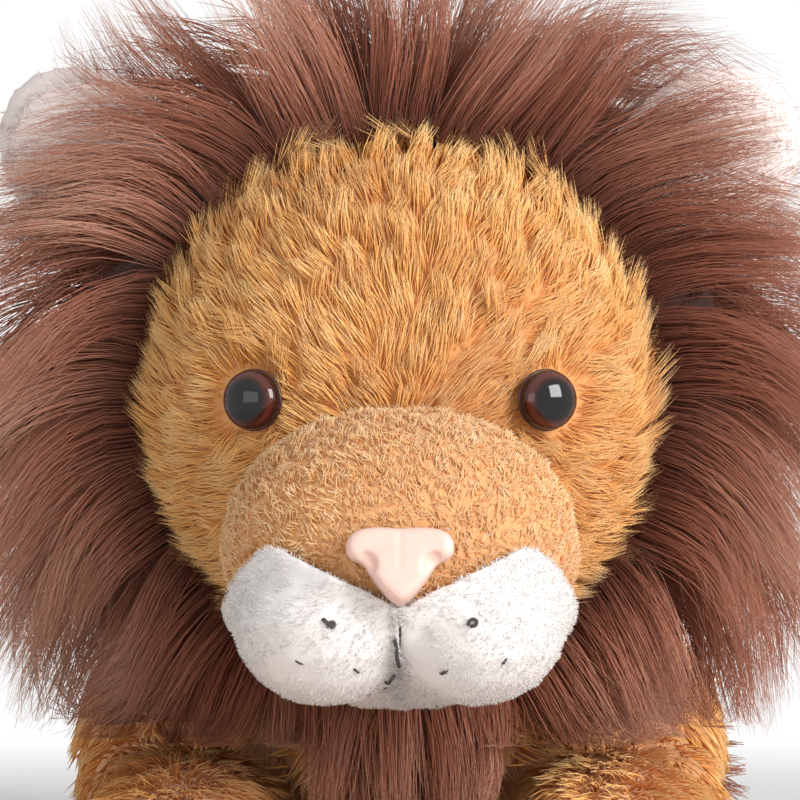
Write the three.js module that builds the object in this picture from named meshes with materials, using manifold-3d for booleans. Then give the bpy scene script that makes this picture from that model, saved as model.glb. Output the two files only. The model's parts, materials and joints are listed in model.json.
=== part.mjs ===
// A soft toy lion that lies on its belly, in millimetres. +Z is up, the face looks along -Y, and +X is the
// lion's own left side. The origin is in the middle of the flat that the belly rests on.
// Each stuffed piece is a sewn cover with its filling, so its solid is the outside of the pile.
import * as THREE from 'three';
import { mergeVertices } from 'three/addons/utils/BufferGeometryUtils.js';
import Module from 'manifold-3d';

// Driving dimensions
const SEAM_GAP = 0.3; // between two pieces that are sewn or seated together
const FLOOR_PRESS = 0.5; // how deep a resting form is pressed flat

const BODY_HALF_WIDTH = 57;
const BODY_HEIGHT = 103;
const BODY_LENGTH = 206;
const SHOULDER_BACK = 30; // from the front of the chest back to the shoulders' axes

const HEAD_HALF_WIDTH = 56;
const HEAD_HALF_HEIGHT = 56.5;
const HEAD_DEPTH = 100;
const HEAD_CENTRE_Z = 114;
const HEAD_OVERHANG = 74; // from the shoulders' axes forward to the face

const MUZZLE_HALF_WIDTH = 38;
const MUZZLE_HALF_HEIGHT = 31;
const MUZZLE_REACH = 38; // how far the muzzle stands out of the face
const MUZZLE_DROP = 29.5; // its middle below the middle of the head

const LIP_THICK = 2.2;
const LIP_LOBE_HALF_WIDTH = 18.5;
const LIP_LOBE_HALF_HEIGHT = 16.5;
const LIP_LOBES_APART = 30; // between the middles of the two lobes
const LIP_LOBE_DROP = 15; // their middles below the middle of the muzzle
const LIP_PARTING = 0.4;

const NOSE_WIDTH = 21.4;
const NOSE_HEIGHT = 15.2;
const NOSE_DEPTH = 6;
const NOSE_EDGE = 1.4; // radius of its moulded edge, seen from the front
const NOSE_ROOT = 6; // how far its outline is carried back to meet the dome of the muzzle
const NOSE_TILT = 10; // degrees that its top leans back
const NOSE_BELOW_HEAD = 32.8; // its middle below the middle of the head

const EYE_RADIUS = 6.2;
const EYE_DOME = 4.4; // height of the clear cap
const EYE_PLATE = 1.4;
const EYE_SPACING = 62; // between the two eyes
const EYE_TURN = 24; // degrees that each eye looks outwards
const EYE_SINK = 1.2; // how deep the plate sits in the pile

const SHANK_RADIUS = 1.9;
const SHANK_RIB = 0.4;
const SHANK_RIBS = 4;
const SHANK_LENGTH = 12;
const WASHER_RADIUS = 6.5;
const WASHER_THICK = 1.4;
const COVER_WALL = 4; // pile, backing and filling that a washer clamps

const EAR_HALF_LENGTH = 28;
const EAR_HALF_WIDTH = 21;
const EAR_THICK = 11;
const EAR_RISE = 38; // degrees above level at which each ear stands out
const EAR_REACH = 84; // from the middle of the head to the middle of the ear
const EAR_BACK = 14; // the ears behind the middle of the head
const EAR_TURN = 14; // degrees that each ear opens outwards
const EAR_CUP = 3.5; // depth of its hollow
const EAR_LINING = 1.6;
const EAR_HEM = 0.4; // how far the lining stays inside the edge

const MANE_HAIR = 47; // how far the hair stands out from the head
const MANE_BACK = 30; // how far it stands out behind the head
const MANE_FACE_EDGE = 35; // from the front of the face back to the first hair
const NAPE_SEAM_BACK = 46; // from the middle of the head back to the seam of the nape panel
const MANE_CROWN_ANGLE = 30; // degrees each side of straight up
const BIB_HALF_WIDTH = 17;
const MANE_OVER_LEGS = 2.5; // room between the hair's lower edge and the legs

const LEG_RADIUS = 24.5; // half the width of a front leg, and its ball in the shoulder
const LEG_HEIGHT = 40;
const LEG_LENGTH = 146; // from the shoulder's axis forward to the tip of the paw
const LEG_APART = 93; // between the axes of the front legs

const HAUNCH_RADIUS = 33;
const HAUNCH_HEIGHT = 64;
const HAUNCH_APART = 98;
const HIP_BACK = 126; // from the shoulders' axes back to the hips' axes
const FOOT_RADIUS = 18;
const FOOT_LENGTH = 84; // from the hip's axis forward to the tip of the foot
const FOOT_SPREAD = 15; // how far the foot's tip lies outside the hip's axis

const TAIL_RADIUS = 7;
const TAIL_ROOT_RADIUS = 10;
const TAIL_ROOT_Z = 30;
const TAIL_REACH_BACK = 70;
const TAIL_FALL = 6; // how high it still hangs over the floor a third of the way back
const TAIL_REACH_SIDE = 36;
const TUFT_LENGTH = 52;
const TUFT_RADIUS = 13;
const TUFT_BEND = 11; // how far the tuft's tip turns forward

const wasm = await Module();
wasm.setup();

const radians = THREE.MathUtils.degToRad;
const vector = (x, y, z) => new THREE.Vector3(x, y, z);

// Solids: closed geometry in and out of the library that joins and cuts
function solidOf(geometry) {
  const bare = geometry.clone();
  bare.deleteAttribute('normal');
  bare.deleteAttribute('uv');
  const merged = mergeVertices(bare, 1e-4);
  const corners = merged.index.array;
  const kept = [];
  for (let i = 0; i < corners.length; i += 3) {
    const [a, b, c] = [corners[i], corners[i + 1], corners[i + 2]];
    if (a !== b && b !== c && c !== a) kept.push(a, b, c);
  }
  const mesh = new wasm.Mesh({
    numProp: 3,
    vertProperties: merged.attributes.position.array,
    triVerts: new Uint32Array(kept),
  });
  return new wasm.Manifold(mesh);
}

function geometryOf(solid) {
  const mesh = solid.getMesh();
  const geometry = new THREE.BufferGeometry();
  geometry.setAttribute('position', new THREE.BufferAttribute(new Float32Array(mesh.vertProperties), 3));
  geometry.setIndex(new THREE.BufferAttribute(new Uint32Array(mesh.triVerts), 1));
  geometry.computeVertexNormals();
  return geometry;
}

// What is left of a solid after its cutters, without the slivers that they may part from it
function cut(solid, ...cutters) {
  const left = cutters.reduce((rest, cutter) => rest.subtract(cutter), solid);
  return left.decompose().sort((a, b) => b.volume() - a.volume())[0];
}

const join = (...solids) => solids.reduce((sum, next) => sum.add(next));

// A box by its two far corners
function block(low, high) {
  const size = high.clone().sub(low);
  const middle = low.clone().add(high).multiplyScalar(0.5);
  return solidOf(new THREE.BoxGeometry(size.x, size.y, size.z).translate(middle.x, middle.y, middle.z));
}

const FAR = 600;
const floor = block(vector(-FAR, -FAR, -FAR), vector(FAR, FAR, 0));

// An ellipsoid by its middle and its three half sizes, with its poles up and down
function ellipsoid(middle, half, sides = 16, rings = 8) {
  const ball = new THREE.SphereGeometry(1, sides, rings).rotateX(Math.PI / 2);
  return solidOf(ball.scale(half.x, half.y, half.z).translate(middle.x, middle.y, middle.z));
}

// A stuffed form: a ball drawn out along a spine. Each station has its place, half width and half height.
// Fullness over 2 blunts the two ends, and squareness over 2 fills the corners of the section.
function stuffed(stations, { fullness = 2.4, squareness = 2.1, sides = 16, rings = 10, grow = 0 } = {}) {
  const spine = new THREE.CatmullRomCurve3(stations.map((station) => station.at));
  const sizes = new THREE.SplineCurve(stations.map((s) => new THREE.Vector2(s.across, s.up)));
  const ball = new THREE.SphereGeometry(1, sides, rings);
  const place = ball.attributes.position;
  const power = (value, exponent) => Math.sign(value) * Math.abs(value) ** exponent;
  const level = vector(0, 0, 1);
  for (let i = 0; i < place.count; i++) {
    const [x, y, z] = [place.getX(i), place.getY(i), place.getZ(i)];
    const girth = Math.min(1, Math.hypot(x, z));
    const along = (1 - power(y, 2 / fullness)) / 2;
    const swell = girth < 1e-6 ? 0 : girth ** (2 / fullness);
    const turn = Math.atan2(z, x);
    const size = sizes.getPoint(along);
    const tangent = spine.getTangent(along);
    const side = tangent.clone().cross(level).normalize();
    const lift = side.clone().cross(tangent);
    const point = spine.getPoint(along);
    point.addScaledVector(side, (size.x + grow) * swell * power(Math.cos(turn), 2 / squareness));
    point.addScaledVector(lift, (size.y + grow) * swell * power(Math.sin(turn), 2 / squareness));
    point.addScaledVector(tangent, -grow * y);
    place.setXYZ(i, point.x, point.y, point.z);
  }
  const solid = solidOf(ball);
  return solid.volume() < 0 ? solidOf(turnedOut(ball)) : solid;
}

// The same surface with every face turned round
function turnedOut(geometry) {
  const flipped = geometry.clone();
  const corners = flipped.index.array;
  for (let i = 0; i < corners.length; i += 3) {
    [corners[i + 1], corners[i + 2]] = [corners[i + 2], corners[i + 1]];
  }
  return flipped;
}

const station = (x, y, z, across, up) => ({ at: vector(x, y, z), across, up });

// The scene graph: a group for each sewn assembly, at the point that it is placed by
const lion = new THREE.Group();

function assembly(at) {
  const group = new THREE.Group();
  group.position.copy(at);
  lion.add(group);
  return group;
}

function addPiece(group, name, solid, material) {
  const { x, y, z } = group.position;
  const mesh = new THREE.Mesh(geometryOf(solid).translate(-x, -y, -z), material);
  mesh.name = name;
  group.add(mesh);
}

// Finishes
const finish = (color, roughness) => new THREE.MeshStandardMaterial({ color, roughness, metalness: 0 });
const tanPile = () => finish(0xc8873f, 0.9);
const shortTanPile = () => finish(0xd0965a, 0.9);
const whitePile = () => finish(0xf1ebe6, 0.9);
const maneHair = () => finish(0x6e483c, 0.8);
const earVelour = () => finish(0xded2cc, 0.9);
const pinkPlastic = () => finish(0xfadccf, 0.35);
const brownPlastic = () => finish(0x3a1a10, 0.25);
const clearPlastic = () => finish(0x2a1510, 0.08);
const washerPlastic = () => finish(0xe8e8e6, 0.6);

// Body: a long pillow, deepest behind the shoulders
const rumpY = BODY_LENGTH / 2;
const shoulderY = SHOULDER_BACK - BODY_LENGTH / 2;
const hipY = shoulderY + HIP_BACK;

function bodyForm(grow = 0) {
  const half = BODY_HEIGHT / 2;
  const at = (share, width, height) => {
    const up = half * height;
    return station(0, rumpY - (1 - share) * BODY_LENGTH, up - FLOOR_PRESS, BODY_HALF_WIDTH * width, up);
  };
  const stations = [
    at(0, 0.78, 0.8),
    at(0.25, 0.9, 0.96),
    at(0.5, 1, 1),
    at(0.75, 1, 0.94),
    at(1, 0.86, 0.78),
  ];
  return stuffed(stations, { sides: 20, rings: 12, squareness: 2.2, grow });
}

// Head: a round pillow with full cheeks and a slightly flattened face
const faceY = shoulderY - HEAD_OVERHANG;
const headCentre = vector(0, faceY + HEAD_DEPTH / 2, HEAD_CENTRE_Z);

function headForm(grow = 0) {
  const at = (share, width, height) =>
    station(0, faceY + share * HEAD_DEPTH, HEAD_CENTRE_Z, HEAD_HALF_WIDTH * width, HEAD_HALF_HEIGHT * height);
  const stations = [at(0, 0.97, 0.95), at(0.33, 1, 1), at(0.67, 1, 1), at(1, 0.94, 0.95)];
  return stuffed(stations, { sides: 20, rings: 12, fullness: 2.35, grow });
}

// Muzzle: a blunt dome that droops towards the nose
const muzzleZ = HEAD_CENTRE_Z - MUZZLE_DROP;
const muzzleTip = faceY - MUZZLE_REACH;
const muzzleRoot = faceY + HEAD_DEPTH * 0.3;

function muzzleForm(grow = 0) {
  const length = muzzleTip - muzzleRoot;
  const at = (share, drop, width, height) =>
    station(
      0,
      muzzleRoot + share * length,
      muzzleZ - drop * MUZZLE_HALF_HEIGHT,
      MUZZLE_HALF_WIDTH * width,
      MUZZLE_HALF_HEIGHT * height,
    );
  const root = [at(0, 0, 0.98, 1), at(0.38, 0.02, 1, 1)];
  const front = [at(0.7, 0.08, 0.97, 0.93), at(1, 0.28, 0.8, 0.72)];
  return stuffed([...root, ...front], { sides: 18, rings: 10, fullness: 2.6, grow });
}

// The place where a level line from in front first meets a solid
function frontOf(solid, x, z) {
  const mesh = new THREE.Mesh(geometryOf(solid));
  const ray = new THREE.Raycaster(vector(x, -FAR, z), vector(0, 1, 0));
  return ray.intersectObject(mesh)[0].point;
}

const sides = [
  { name: 'left', sign: 1 },
  { name: 'right', sign: -1 },
];

const headWhole = headForm();
const headRoom = headForm(SEAM_GAP);
const bodyRoom = bodyForm(SEAM_GAP);
const muzzleWhole = muzzleForm();
const muzzleRoom = muzzleForm(SEAM_GAP);

// Ribbed shank with its plate, turned about its own axis: the plate's front face is at zero, the shank below
function shankProfile(plateRadius, plateThick) {
  const points = [new THREE.Vector2(0, 0), new THREE.Vector2(plateRadius, 0)];
  points.push(new THREE.Vector2(plateRadius, -plateThick));
  points.push(new THREE.Vector2(SHANK_RADIUS, -plateThick));
  const first = plateThick + COVER_WALL / 2;
  const pitch = (SHANK_LENGTH - COVER_WALL / 2 - SHANK_RADIUS) / SHANK_RIBS;
  for (let rib = 0; rib < SHANK_RIBS; rib++) {
    const y = -first - rib * pitch;
    points.push(new THREE.Vector2(SHANK_RADIUS, y));
    points.push(new THREE.Vector2(SHANK_RADIUS + SHANK_RIB, y - pitch * 0.25));
    points.push(new THREE.Vector2(SHANK_RADIUS, y - pitch * 0.75));
  }
  points.push(new THREE.Vector2(SHANK_RADIUS * 0.5, -plateThick - SHANK_LENGTH));
  points.push(new THREE.Vector2(0, -plateThick - SHANK_LENGTH));
  return points.reverse();
}

const turned = (points, sidesRound = 14) => solidOf(new THREE.LatheGeometry(points, sidesRound));
const disc = (radius, from, to, sidesRound = 14) =>
  solidOf(new THREE.CylinderGeometry(radius, radius, to - from, sidesRound).translate(0, (from + to) / 2, 0));

// The room in a cover for a shank, its washer and the slit that the washer went in by
const washerTop = -COVER_WALL;
const shankRoom = (plateThick) =>
  join(
    disc(SHANK_RADIUS + SHANK_RIB + SEAM_GAP, -plateThick - SHANK_LENGTH - 1, 0),
    disc(
      WASHER_RADIUS + SEAM_GAP,
      -plateThick + washerTop - WASHER_THICK - 2 * SEAM_GAP,
      -plateThick + washerTop,
    ),
  );

function washer(plateThick) {
  const top = -plateThick + washerTop - SEAM_GAP;
  const bore = disc(SHANK_RADIUS + SHANK_RIB + SEAM_GAP, top - WASHER_THICK - 1, top + 1);
  return cut(disc(WASHER_RADIUS, top - WASHER_THICK, top), bore);
}

// Moves a solid made about its own upright axis to its seat, with that axis pointing along a direction
function seated(solid, at, direction) {
  const turn = new THREE.Quaternion().setFromUnitVectors(vector(0, 1, 0), direction);
  const geometry = geometryOf(solid).applyQuaternion(turn).translate(at.x, at.y, at.z);
  return solidOf(geometry);
}

// Eyes: a clear cap on a brown plate with its ribbed shank, and the washer that holds it from inside
function capProfile() {
  const points = [new THREE.Vector2(0, SEAM_GAP)];
  const rim = 0.5;
  const steps = 5;
  points.push(new THREE.Vector2(EYE_RADIUS, SEAM_GAP));
  for (let step = 0; step <= steps; step++) {
    const angle = (step / steps) * (Math.PI / 2);
    const height = SEAM_GAP + rim + (EYE_DOME - rim) * Math.sin(angle);
    points.push(new THREE.Vector2(step === steps ? 0 : EYE_RADIUS * Math.cos(angle), height));
  }
  return points;
}

const CAP_SIDES = 20; // round the clear cap
const headAssembly = assembly(headCentre);
const eyeRooms = [];

for (const side of sides) {
  const x = (side.sign * EYE_SPACING) / 2;
  const direction = vector(
    side.sign * Math.sin(radians(EYE_TURN)),
    -Math.cos(radians(EYE_TURN)),
    0,
  );
  const surface = frontOf(headWhole, x, HEAD_CENTRE_Z);
  const seat = surface.addScaledVector(direction, -EYE_SINK + EYE_PLATE);
  const eye = (solid) => seated(solid, seat, direction);
  const socket = disc(EYE_RADIUS + SEAM_GAP, -EYE_PLATE - SEAM_GAP, EYE_DOME + EYE_RADIUS);
  eyeRooms.push(eye(join(socket, shankRoom(EYE_PLATE))));
  addPiece(headAssembly, `eye_cap_${side.name}`, eye(turned(capProfile(), CAP_SIDES)), clearPlastic());
  const plate = turned(shankProfile(EYE_RADIUS, EYE_PLATE));
  addPiece(headAssembly, `eye_plate_${side.name}`, eye(plate), brownPlastic());
  addPiece(headAssembly, `eye_washer_${side.name}`, eye(washer(EYE_PLATE)), washerPlastic());
}

// Nose: a moulded heart with two round lobes, nostril notches and a groove down its middle
function noseOutline(grow = 0) {
  const half = NOSE_WIDTH / 2 + grow;
  const top = NOSE_HEIGHT * 0.49 + grow;
  const tip = -NOSE_HEIGHT * 0.51 - grow;
  const up = (share) => NOSE_HEIGHT * share;
  const outline = new THREE.Shape();
  outline.moveTo(0, top - up(0.02));
  outline.bezierCurveTo(half * 0.3, top * 1.02, half * 0.76, top * 1.03, half * 0.9, up(0.4));
  outline.bezierCurveTo(half * 1.03, up(0.32), half * 1.04, up(0.15), half * 0.92, up(0.08));
  outline.bezierCurveTo(half * 0.82, up(0.02), half * 0.7, up(0.06), half * 0.63, -up(0.04));
  outline.bezierCurveTo(half * 0.55, -up(0.15), half * 0.2, tip * 0.98, 0, tip);
  outline.bezierCurveTo(-half * 0.2, tip * 0.98, -half * 0.55, -up(0.15), -half * 0.63, -up(0.04));
  outline.bezierCurveTo(-half * 0.7, up(0.06), -half * 0.82, up(0.02), -half * 0.92, up(0.08));
  outline.bezierCurveTo(-half * 1.04, up(0.15), -half * 1.03, up(0.32), -half * 0.9, up(0.4));
  outline.bezierCurveTo(-half * 0.76, top * 1.03, -half * 0.3, top * 1.02, 0, top - up(0.02));
  return outline;
}

const noseRound = NOSE_DEPTH * 0.4;

function noseBlock(grow, front, back) {
  const shape = noseOutline(grow);
  const geometry = new THREE.ExtrudeGeometry(shape, {
    depth: front + back - noseRound,
    curveSegments: 4,
    bevelThickness: noseRound,
    bevelSize: NOSE_EDGE,
    bevelOffset: -NOSE_EDGE,
    bevelSegments: 2,
  });
  return solidOf(geometry.translate(0, 0, -back));
}

const noseZ = HEAD_CENTRE_Z - NOSE_BELOW_HEAD;
const noseSurface = frontOf(muzzleWhole, 0, noseZ);
const leanBack = radians(NOSE_TILT);
const toNose = (solid, at = noseSurface) => {
  const geometry = geometryOf(solid).rotateX(Math.PI / 2 - leanBack).translate(at.x, at.y, at.z);
  return solidOf(geometry);
};
const shankDirection = vector(0, -Math.cos(leanBack), Math.sin(leanBack));
const nosePlate = NOSE_DEPTH * 0.5;

function nostrils() {
  const notch = new THREE.SphereGeometry(1, 10, 6);
  notch.scale(NOSE_WIDTH * 0.1, NOSE_HEIGHT * 0.17, NOSE_DEPTH * 0.32);
  const across = NOSE_WIDTH * 0.3;
  const left = solidOf(notch.clone().rotateZ(-0.4).translate(across, 0, NOSE_DEPTH));
  const right = solidOf(notch.clone().rotateZ(0.4).translate(-across, 0, NOSE_DEPTH));
  const groove = new THREE.CylinderGeometry(0.4, 0.4, NOSE_HEIGHT * 0.62, 6);
  return join(left, right, solidOf(groove.translate(0, NOSE_HEIGHT * 0.19, NOSE_DEPTH)));
}

const noseMoulding = toNose(cut(noseBlock(0, NOSE_DEPTH, NOSE_ROOT), nostrils()));
const noseShankTurned = turned(shankProfile(SHANK_RADIUS + SHANK_RIB, nosePlate));
const noseShank = seated(noseShankTurned, noseSurface, shankDirection);
const noseShankRoom = seated(shankRoom(nosePlate), noseSurface, shankDirection);
const noseRoom = toNose(noseBlock(SEAM_GAP * 1.5, NOSE_DEPTH + NOSE_ROOT, NOSE_ROOT));
const nose = join(cut(noseMoulding, muzzleRoom), noseShank);
addPiece(headAssembly, 'nose', nose, pinkPlastic());
const noseWasher = seated(washer(nosePlate), noseSurface, shankDirection);
addPiece(headAssembly, 'nose_washer', noseWasher, washerPlastic());
addPiece(headAssembly, 'muzzle', cut(muzzleWhole, headRoom, noseShankRoom), shortTanPile());

// Lips: two white pillows with a parting down the middle and slanting top edges that meet under the nose
function lipOutline(sign) {
  const outline = new THREE.Shape();
  const edge = LIP_PARTING / 2;
  const x = (share) => sign * share * MUZZLE_HALF_WIDTH;
  const z = (share) => muzzleZ + share * MUZZLE_HALF_HEIGHT;
  outline.moveTo(sign * edge, z(-0.38));
  outline.bezierCurveTo(x(0.12), z(-0.24), x(0.5), z(-0.1), x(0.64), z(0.03));
  outline.bezierCurveTo(x(0.72), z(0.06), x(0.94), z(-0.2), x(0.94), z(-0.42));
  outline.bezierCurveTo(x(0.94), z(-0.75), x(0.75), z(-1), x(0.5), z(-1.25));
  outline.lineTo(sign * edge, z(-1.25));
  outline.closePath();
  return outline;
}

for (const side of sides) {
  const lobeMiddle = vector(
    (side.sign * LIP_LOBES_APART) / 2,
    muzzleTip + LIP_LOBE_HALF_WIDTH - LIP_THICK,
    muzzleZ - LIP_LOBE_DROP,
  );
  const lobe = ellipsoid(lobeMiddle, vector(LIP_LOBE_HALF_WIDTH, LIP_LOBE_HALF_WIDTH, LIP_LOBE_HALF_HEIGHT));
  const plate = new THREE.ExtrudeGeometry(lipOutline(side.sign), {
    depth: MUZZLE_REACH + LIP_THICK * 2,
    bevelEnabled: false,
    curveSegments: 4,
  });
  const front = solidOf(plate.rotateX(Math.PI / 2).translate(0, muzzleTip + MUZZLE_REACH, 0));
  const pillow = join(muzzleForm(LIP_THICK), lobe).intersect(front);
  const lip = cut(pillow, muzzleRoom, headRoom, noseRoom);
  addPiece(headAssembly, `lip_${side.name}`, lip, whitePile());
}

addPiece(headAssembly, 'head', cut(headWhole, bodyRoom, ...eyeRooms), tanPile());

// Ears: a cupped leaf of pile with a thin lining sewn into its hollow
function earOutline(inset, thick) {
  const half = vector(EAR_HALF_WIDTH - inset, EAR_HALF_LENGTH - inset, thick / 2);
  return new THREE.SphereGeometry(1, 16, 6).rotateX(Math.PI / 2).scale(half.x, half.y, half.z);
}

const cupRadius = (EAR_HALF_WIDTH ** 2 + EAR_CUP ** 2) / (2 * EAR_CUP);

function cupBall(depth) {
  const ball = new THREE.SphereGeometry(cupRadius, 20, 10).rotateX(Math.PI / 2);
  return ball.translate(0, 0, cupRadius + EAR_THICK * 0.12 - depth);
}

function placeEar(geometry, sign) {
  const outward = radians(EAR_TURN);
  const rise = Math.PI / 2 - radians(EAR_RISE);
  const middle = vector(
    sign * EAR_REACH * Math.cos(radians(EAR_RISE)),
    headCentre.y + EAR_BACK,
    HEAD_CENTRE_Z + EAR_REACH * Math.sin(radians(EAR_RISE)),
  );
  const stood = geometry.clone().rotateX(Math.PI / 2).rotateY(sign * rise).rotateZ(sign * outward);
  return solidOf(stood.translate(middle.x, middle.y, middle.z));
}

const earRooms = [];

for (const side of sides) {
  const place = (geometry) => placeEar(geometry, side.sign);
  const leaf = place(earOutline(0, EAR_THICK));
  const backing = cut(leaf, place(cupBall(0)), headRoom);
  const inside = place(earOutline(EAR_HEM, EAR_THICK * 1.6));
  const hollow = place(cupBall(-SEAM_GAP));
  const liningFront = place(cupBall(-SEAM_GAP - EAR_LINING));
  const lining = cut(inside.intersect(hollow), liningFront, headForm(SEAM_GAP + 1));
  addPiece(headAssembly, `ear_${side.name}`, backing, tanPile());
  addPiece(headAssembly, `ear_lining_${side.name}`, lining, earVelour());
  earRooms.push(place(earOutline(-2 * SEAM_GAP, EAR_THICK + 4 * SEAM_GAP)));
  earRooms.push(place(earOutline(EAR_HEM - 2 * SEAM_GAP, EAR_THICK * 1.6 + 4 * SEAM_GAP)));
  const parting = new THREE.SphereGeometry(1, 10, 6);
  parting.scale(EAR_HALF_WIDTH * 0.9, EAR_HALF_LENGTH, MANE_HAIR * 1.3);
  earRooms.push(place(parting.translate(0, EAR_HALF_LENGTH * 0.35, MANE_HAIR * 0.95)));
}

// Mane: long hair all round the face, turned about the head's middle and sewn from five panels
function maneForm() {
  const reach = (HEAD_HALF_WIDTH + HEAD_HALF_HEIGHT) / 2 + MANE_HAIR;
  const front = faceY + MANE_FACE_EDGE;
  const back = faceY + HEAD_DEPTH + MANE_BACK;
  const depth = (share) => front + (back - front) * share;
  const outline = new THREE.CatmullRomCurve3([
    vector(reach * 0.56, front, 0),
    vector(reach * 0.84, depth(0.03), 0),
    vector(reach * 0.97, depth(0.2), 0),
    vector(reach, depth(0.4), 0),
    vector(reach * 0.92, depth(0.7), 0),
    vector(reach * 0.58, depth(0.94), 0),
    vector(0, back, 0),
  ]);
  const profile = outline.getPoints(8).map((p) => new THREE.Vector2(Math.max(0, p.x), p.y));
  profile.unshift(new THREE.Vector2(0, front));
  const ring = new THREE.LatheGeometry(profile, 24);
  return solidOf(ring.translate(0, 0, HEAD_CENTRE_Z));
}

const legTop = LEG_HEIGHT - FLOOR_PRESS;
const overLegs = legTop + MANE_OVER_LEGS;
const napeSeam = headCentre.y + NAPE_SEAM_BACK;
const maneWhole = cut(maneForm(), headRoom, bodyRoom, muzzleRoom, ...earRooms);
const seam = SEAM_GAP / 2;

function wedge(from, to) {
  const outline = new THREE.Shape();
  const point = (degrees) => [FAR * Math.cos(radians(degrees)), FAR * Math.sin(radians(degrees))];
  outline.moveTo(0, 0);
  outline.lineTo(...point(from));
  outline.lineTo(...point((from + to) / 2));
  outline.lineTo(...point(to));
  outline.closePath();
  const geometry = new THREE.ExtrudeGeometry(outline, { depth: 2 * FAR, bevelEnabled: false });
  return solidOf(geometry.rotateX(Math.PI / 2).translate(0, FAR, HEAD_CENTRE_Z));
}

const ringRoom = block(vector(-FAR, -FAR, -FAR), vector(FAR, napeSeam - seam, FAR));
const crownWedge = wedge(90 - MANE_CROWN_ANGLE, 90 + MANE_CROWN_ANGLE);
const crownRoom = wedge(90 - MANE_CROWN_ANGLE - 0.3, 90 + MANE_CROWN_ANGLE + 0.3);
const bibColumn = block(vector(-BIB_HALF_WIDTH, -FAR, -FAR), vector(BIB_HALF_WIDTH, FAR, HEAD_CENTRE_Z));
const bibRoom = block(
  vector(-BIB_HALF_WIDTH - SEAM_GAP, -FAR, -FAR),
  vector(BIB_HALF_WIDTH + SEAM_GAP, FAR, HEAD_CENTRE_Z + SEAM_GAP),
);
const legSpace = block(vector(-FAR, -FAR, -FAR), vector(FAR, FAR, overLegs));
const ring = maneWhole.intersect(ringRoom);
const napeBlock = block(vector(-FAR, napeSeam + seam, overLegs), vector(FAR, FAR, FAR));

addPiece(headAssembly, 'mane_crown', cut(ring.intersect(crownWedge)), maneHair());
addPiece(headAssembly, 'mane_bib', cut(ring.intersect(bibColumn)), maneHair());
addPiece(headAssembly, 'mane_nape', cut(maneWhole.intersect(napeBlock)), maneHair());
for (const side of sides) {
  const half = block(
    vector(side.sign > 0 ? 0 : -FAR, -FAR, -FAR),
    vector(side.sign > 0 ? FAR : 0, FAR, FAR),
  );
  const panel = cut(ring.intersect(half), crownRoom, bibRoom, legSpace);
  addPiece(headAssembly, `mane_${side.name}`, panel, maneHair());
}

// Front legs: stretched forward from a ball that turns in the shoulder
const bodyCuts = [];

const ballRoot = (at, radius, height, sidesRound = 16) =>
  ellipsoid(at, vector(radius, radius, height / 2), sidesRound, sidesRound / 2);

// The room that a ball turns in, with its flats outside the circle that the ball's corners go round in
function ballRoom(at, radius, height, sidesRound = 16) {
  const clear = (radius + SEAM_GAP) / Math.cos(Math.PI / sidesRound);
  return ballRoot(at, clear, height + 2 * SEAM_GAP, sidesRound);
}

for (const side of sides) {
  const x = (side.sign * LEG_APART) / 2;
  const z = (share) => (LEG_HEIGHT / 2) * share - FLOOR_PRESS;
  const at = (share, width, height) =>
    station(x, shoulderY - share * LEG_LENGTH, z(height), LEG_RADIUS * width, (LEG_HEIGHT / 2) * height);
  const shoulder = vector(x, shoulderY, z(1));
  const stations = [at(-0.13, 0.98, 0.99), at(0.25, 0.97, 0.98), at(0.62, 0.86, 0.86), at(1, 1.04, 0.95)];
  const limb = cut(stuffed(stations, { fullness: 3.2 }), bodyRoom);
  const leg = cut(join(limb, ballRoot(shoulder, LEG_RADIUS, LEG_HEIGHT)), floor);
  bodyCuts.push(ballRoom(shoulder, LEG_RADIUS, LEG_HEIGHT));
  addPiece(assembly(shoulder), `leg_front_${side.name}`, leg, tanPile());
}

// Hind legs: a round haunch that turns at the hip, and a foot that lies forward along the flank
for (const side of sides) {
  const x = (side.sign * HAUNCH_APART) / 2;
  const hip = vector(x, hipY, HAUNCH_HEIGHT / 2 - FLOOR_PRESS);
  const at = (share, radius) =>
    station(
      x + side.sign * FOOT_SPREAD * share,
      hipY - share * FOOT_LENGTH,
      radius - FLOOR_PRESS,
      radius * 1.05,
      radius,
    );
  const thigh = HAUNCH_RADIUS * 0.92;
  const stations = [at(-0.2, thigh), at(0.2, thigh), at(0.6, FOOT_RADIUS * 1.1), at(1, FOOT_RADIUS * 1.1)];
  const foot = stuffed(stations, { fullness: 2.8 });
  const haunch = ballRoot(hip, HAUNCH_RADIUS, HAUNCH_HEIGHT);
  bodyCuts.push(ballRoom(hip, HAUNCH_RADIUS, HAUNCH_HEIGHT));
  addPiece(assembly(hip), `leg_hind_${side.name}`, cut(join(cut(foot, bodyRoom), haunch), floor), tanPile());
}

// Tail: a soft tube from the rump that curls to one side, with a tuft of mane hair on its end
const tailRoot = vector(0, rumpY + 1, TAIL_ROOT_Z);
const tailLie = TAIL_RADIUS + 1;
const tailRun = [
  station(0, rumpY + TAIL_ROOT_RADIUS * 0.5, TAIL_ROOT_Z, TAIL_RADIUS, TAIL_RADIUS),
  station(0, rumpY + TAIL_REACH_BACK * 0.34, tailLie + TAIL_FALL, TAIL_RADIUS, TAIL_RADIUS),
  station(TAIL_REACH_SIDE * 0.2, rumpY + TAIL_REACH_BACK * 0.74, tailLie, TAIL_RADIUS, TAIL_RADIUS),
  station(TAIL_REACH_SIDE * 0.58, rumpY + TAIL_REACH_BACK * 0.98, tailLie, TAIL_RADIUS, TAIL_RADIUS),
  station(TAIL_REACH_SIDE, rumpY + TAIL_REACH_BACK, tailLie, TAIL_RADIUS, TAIL_RADIUS),
];
const tailOptions = { fullness: 4, squareness: 2, sides: 8, rings: 24 };
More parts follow.
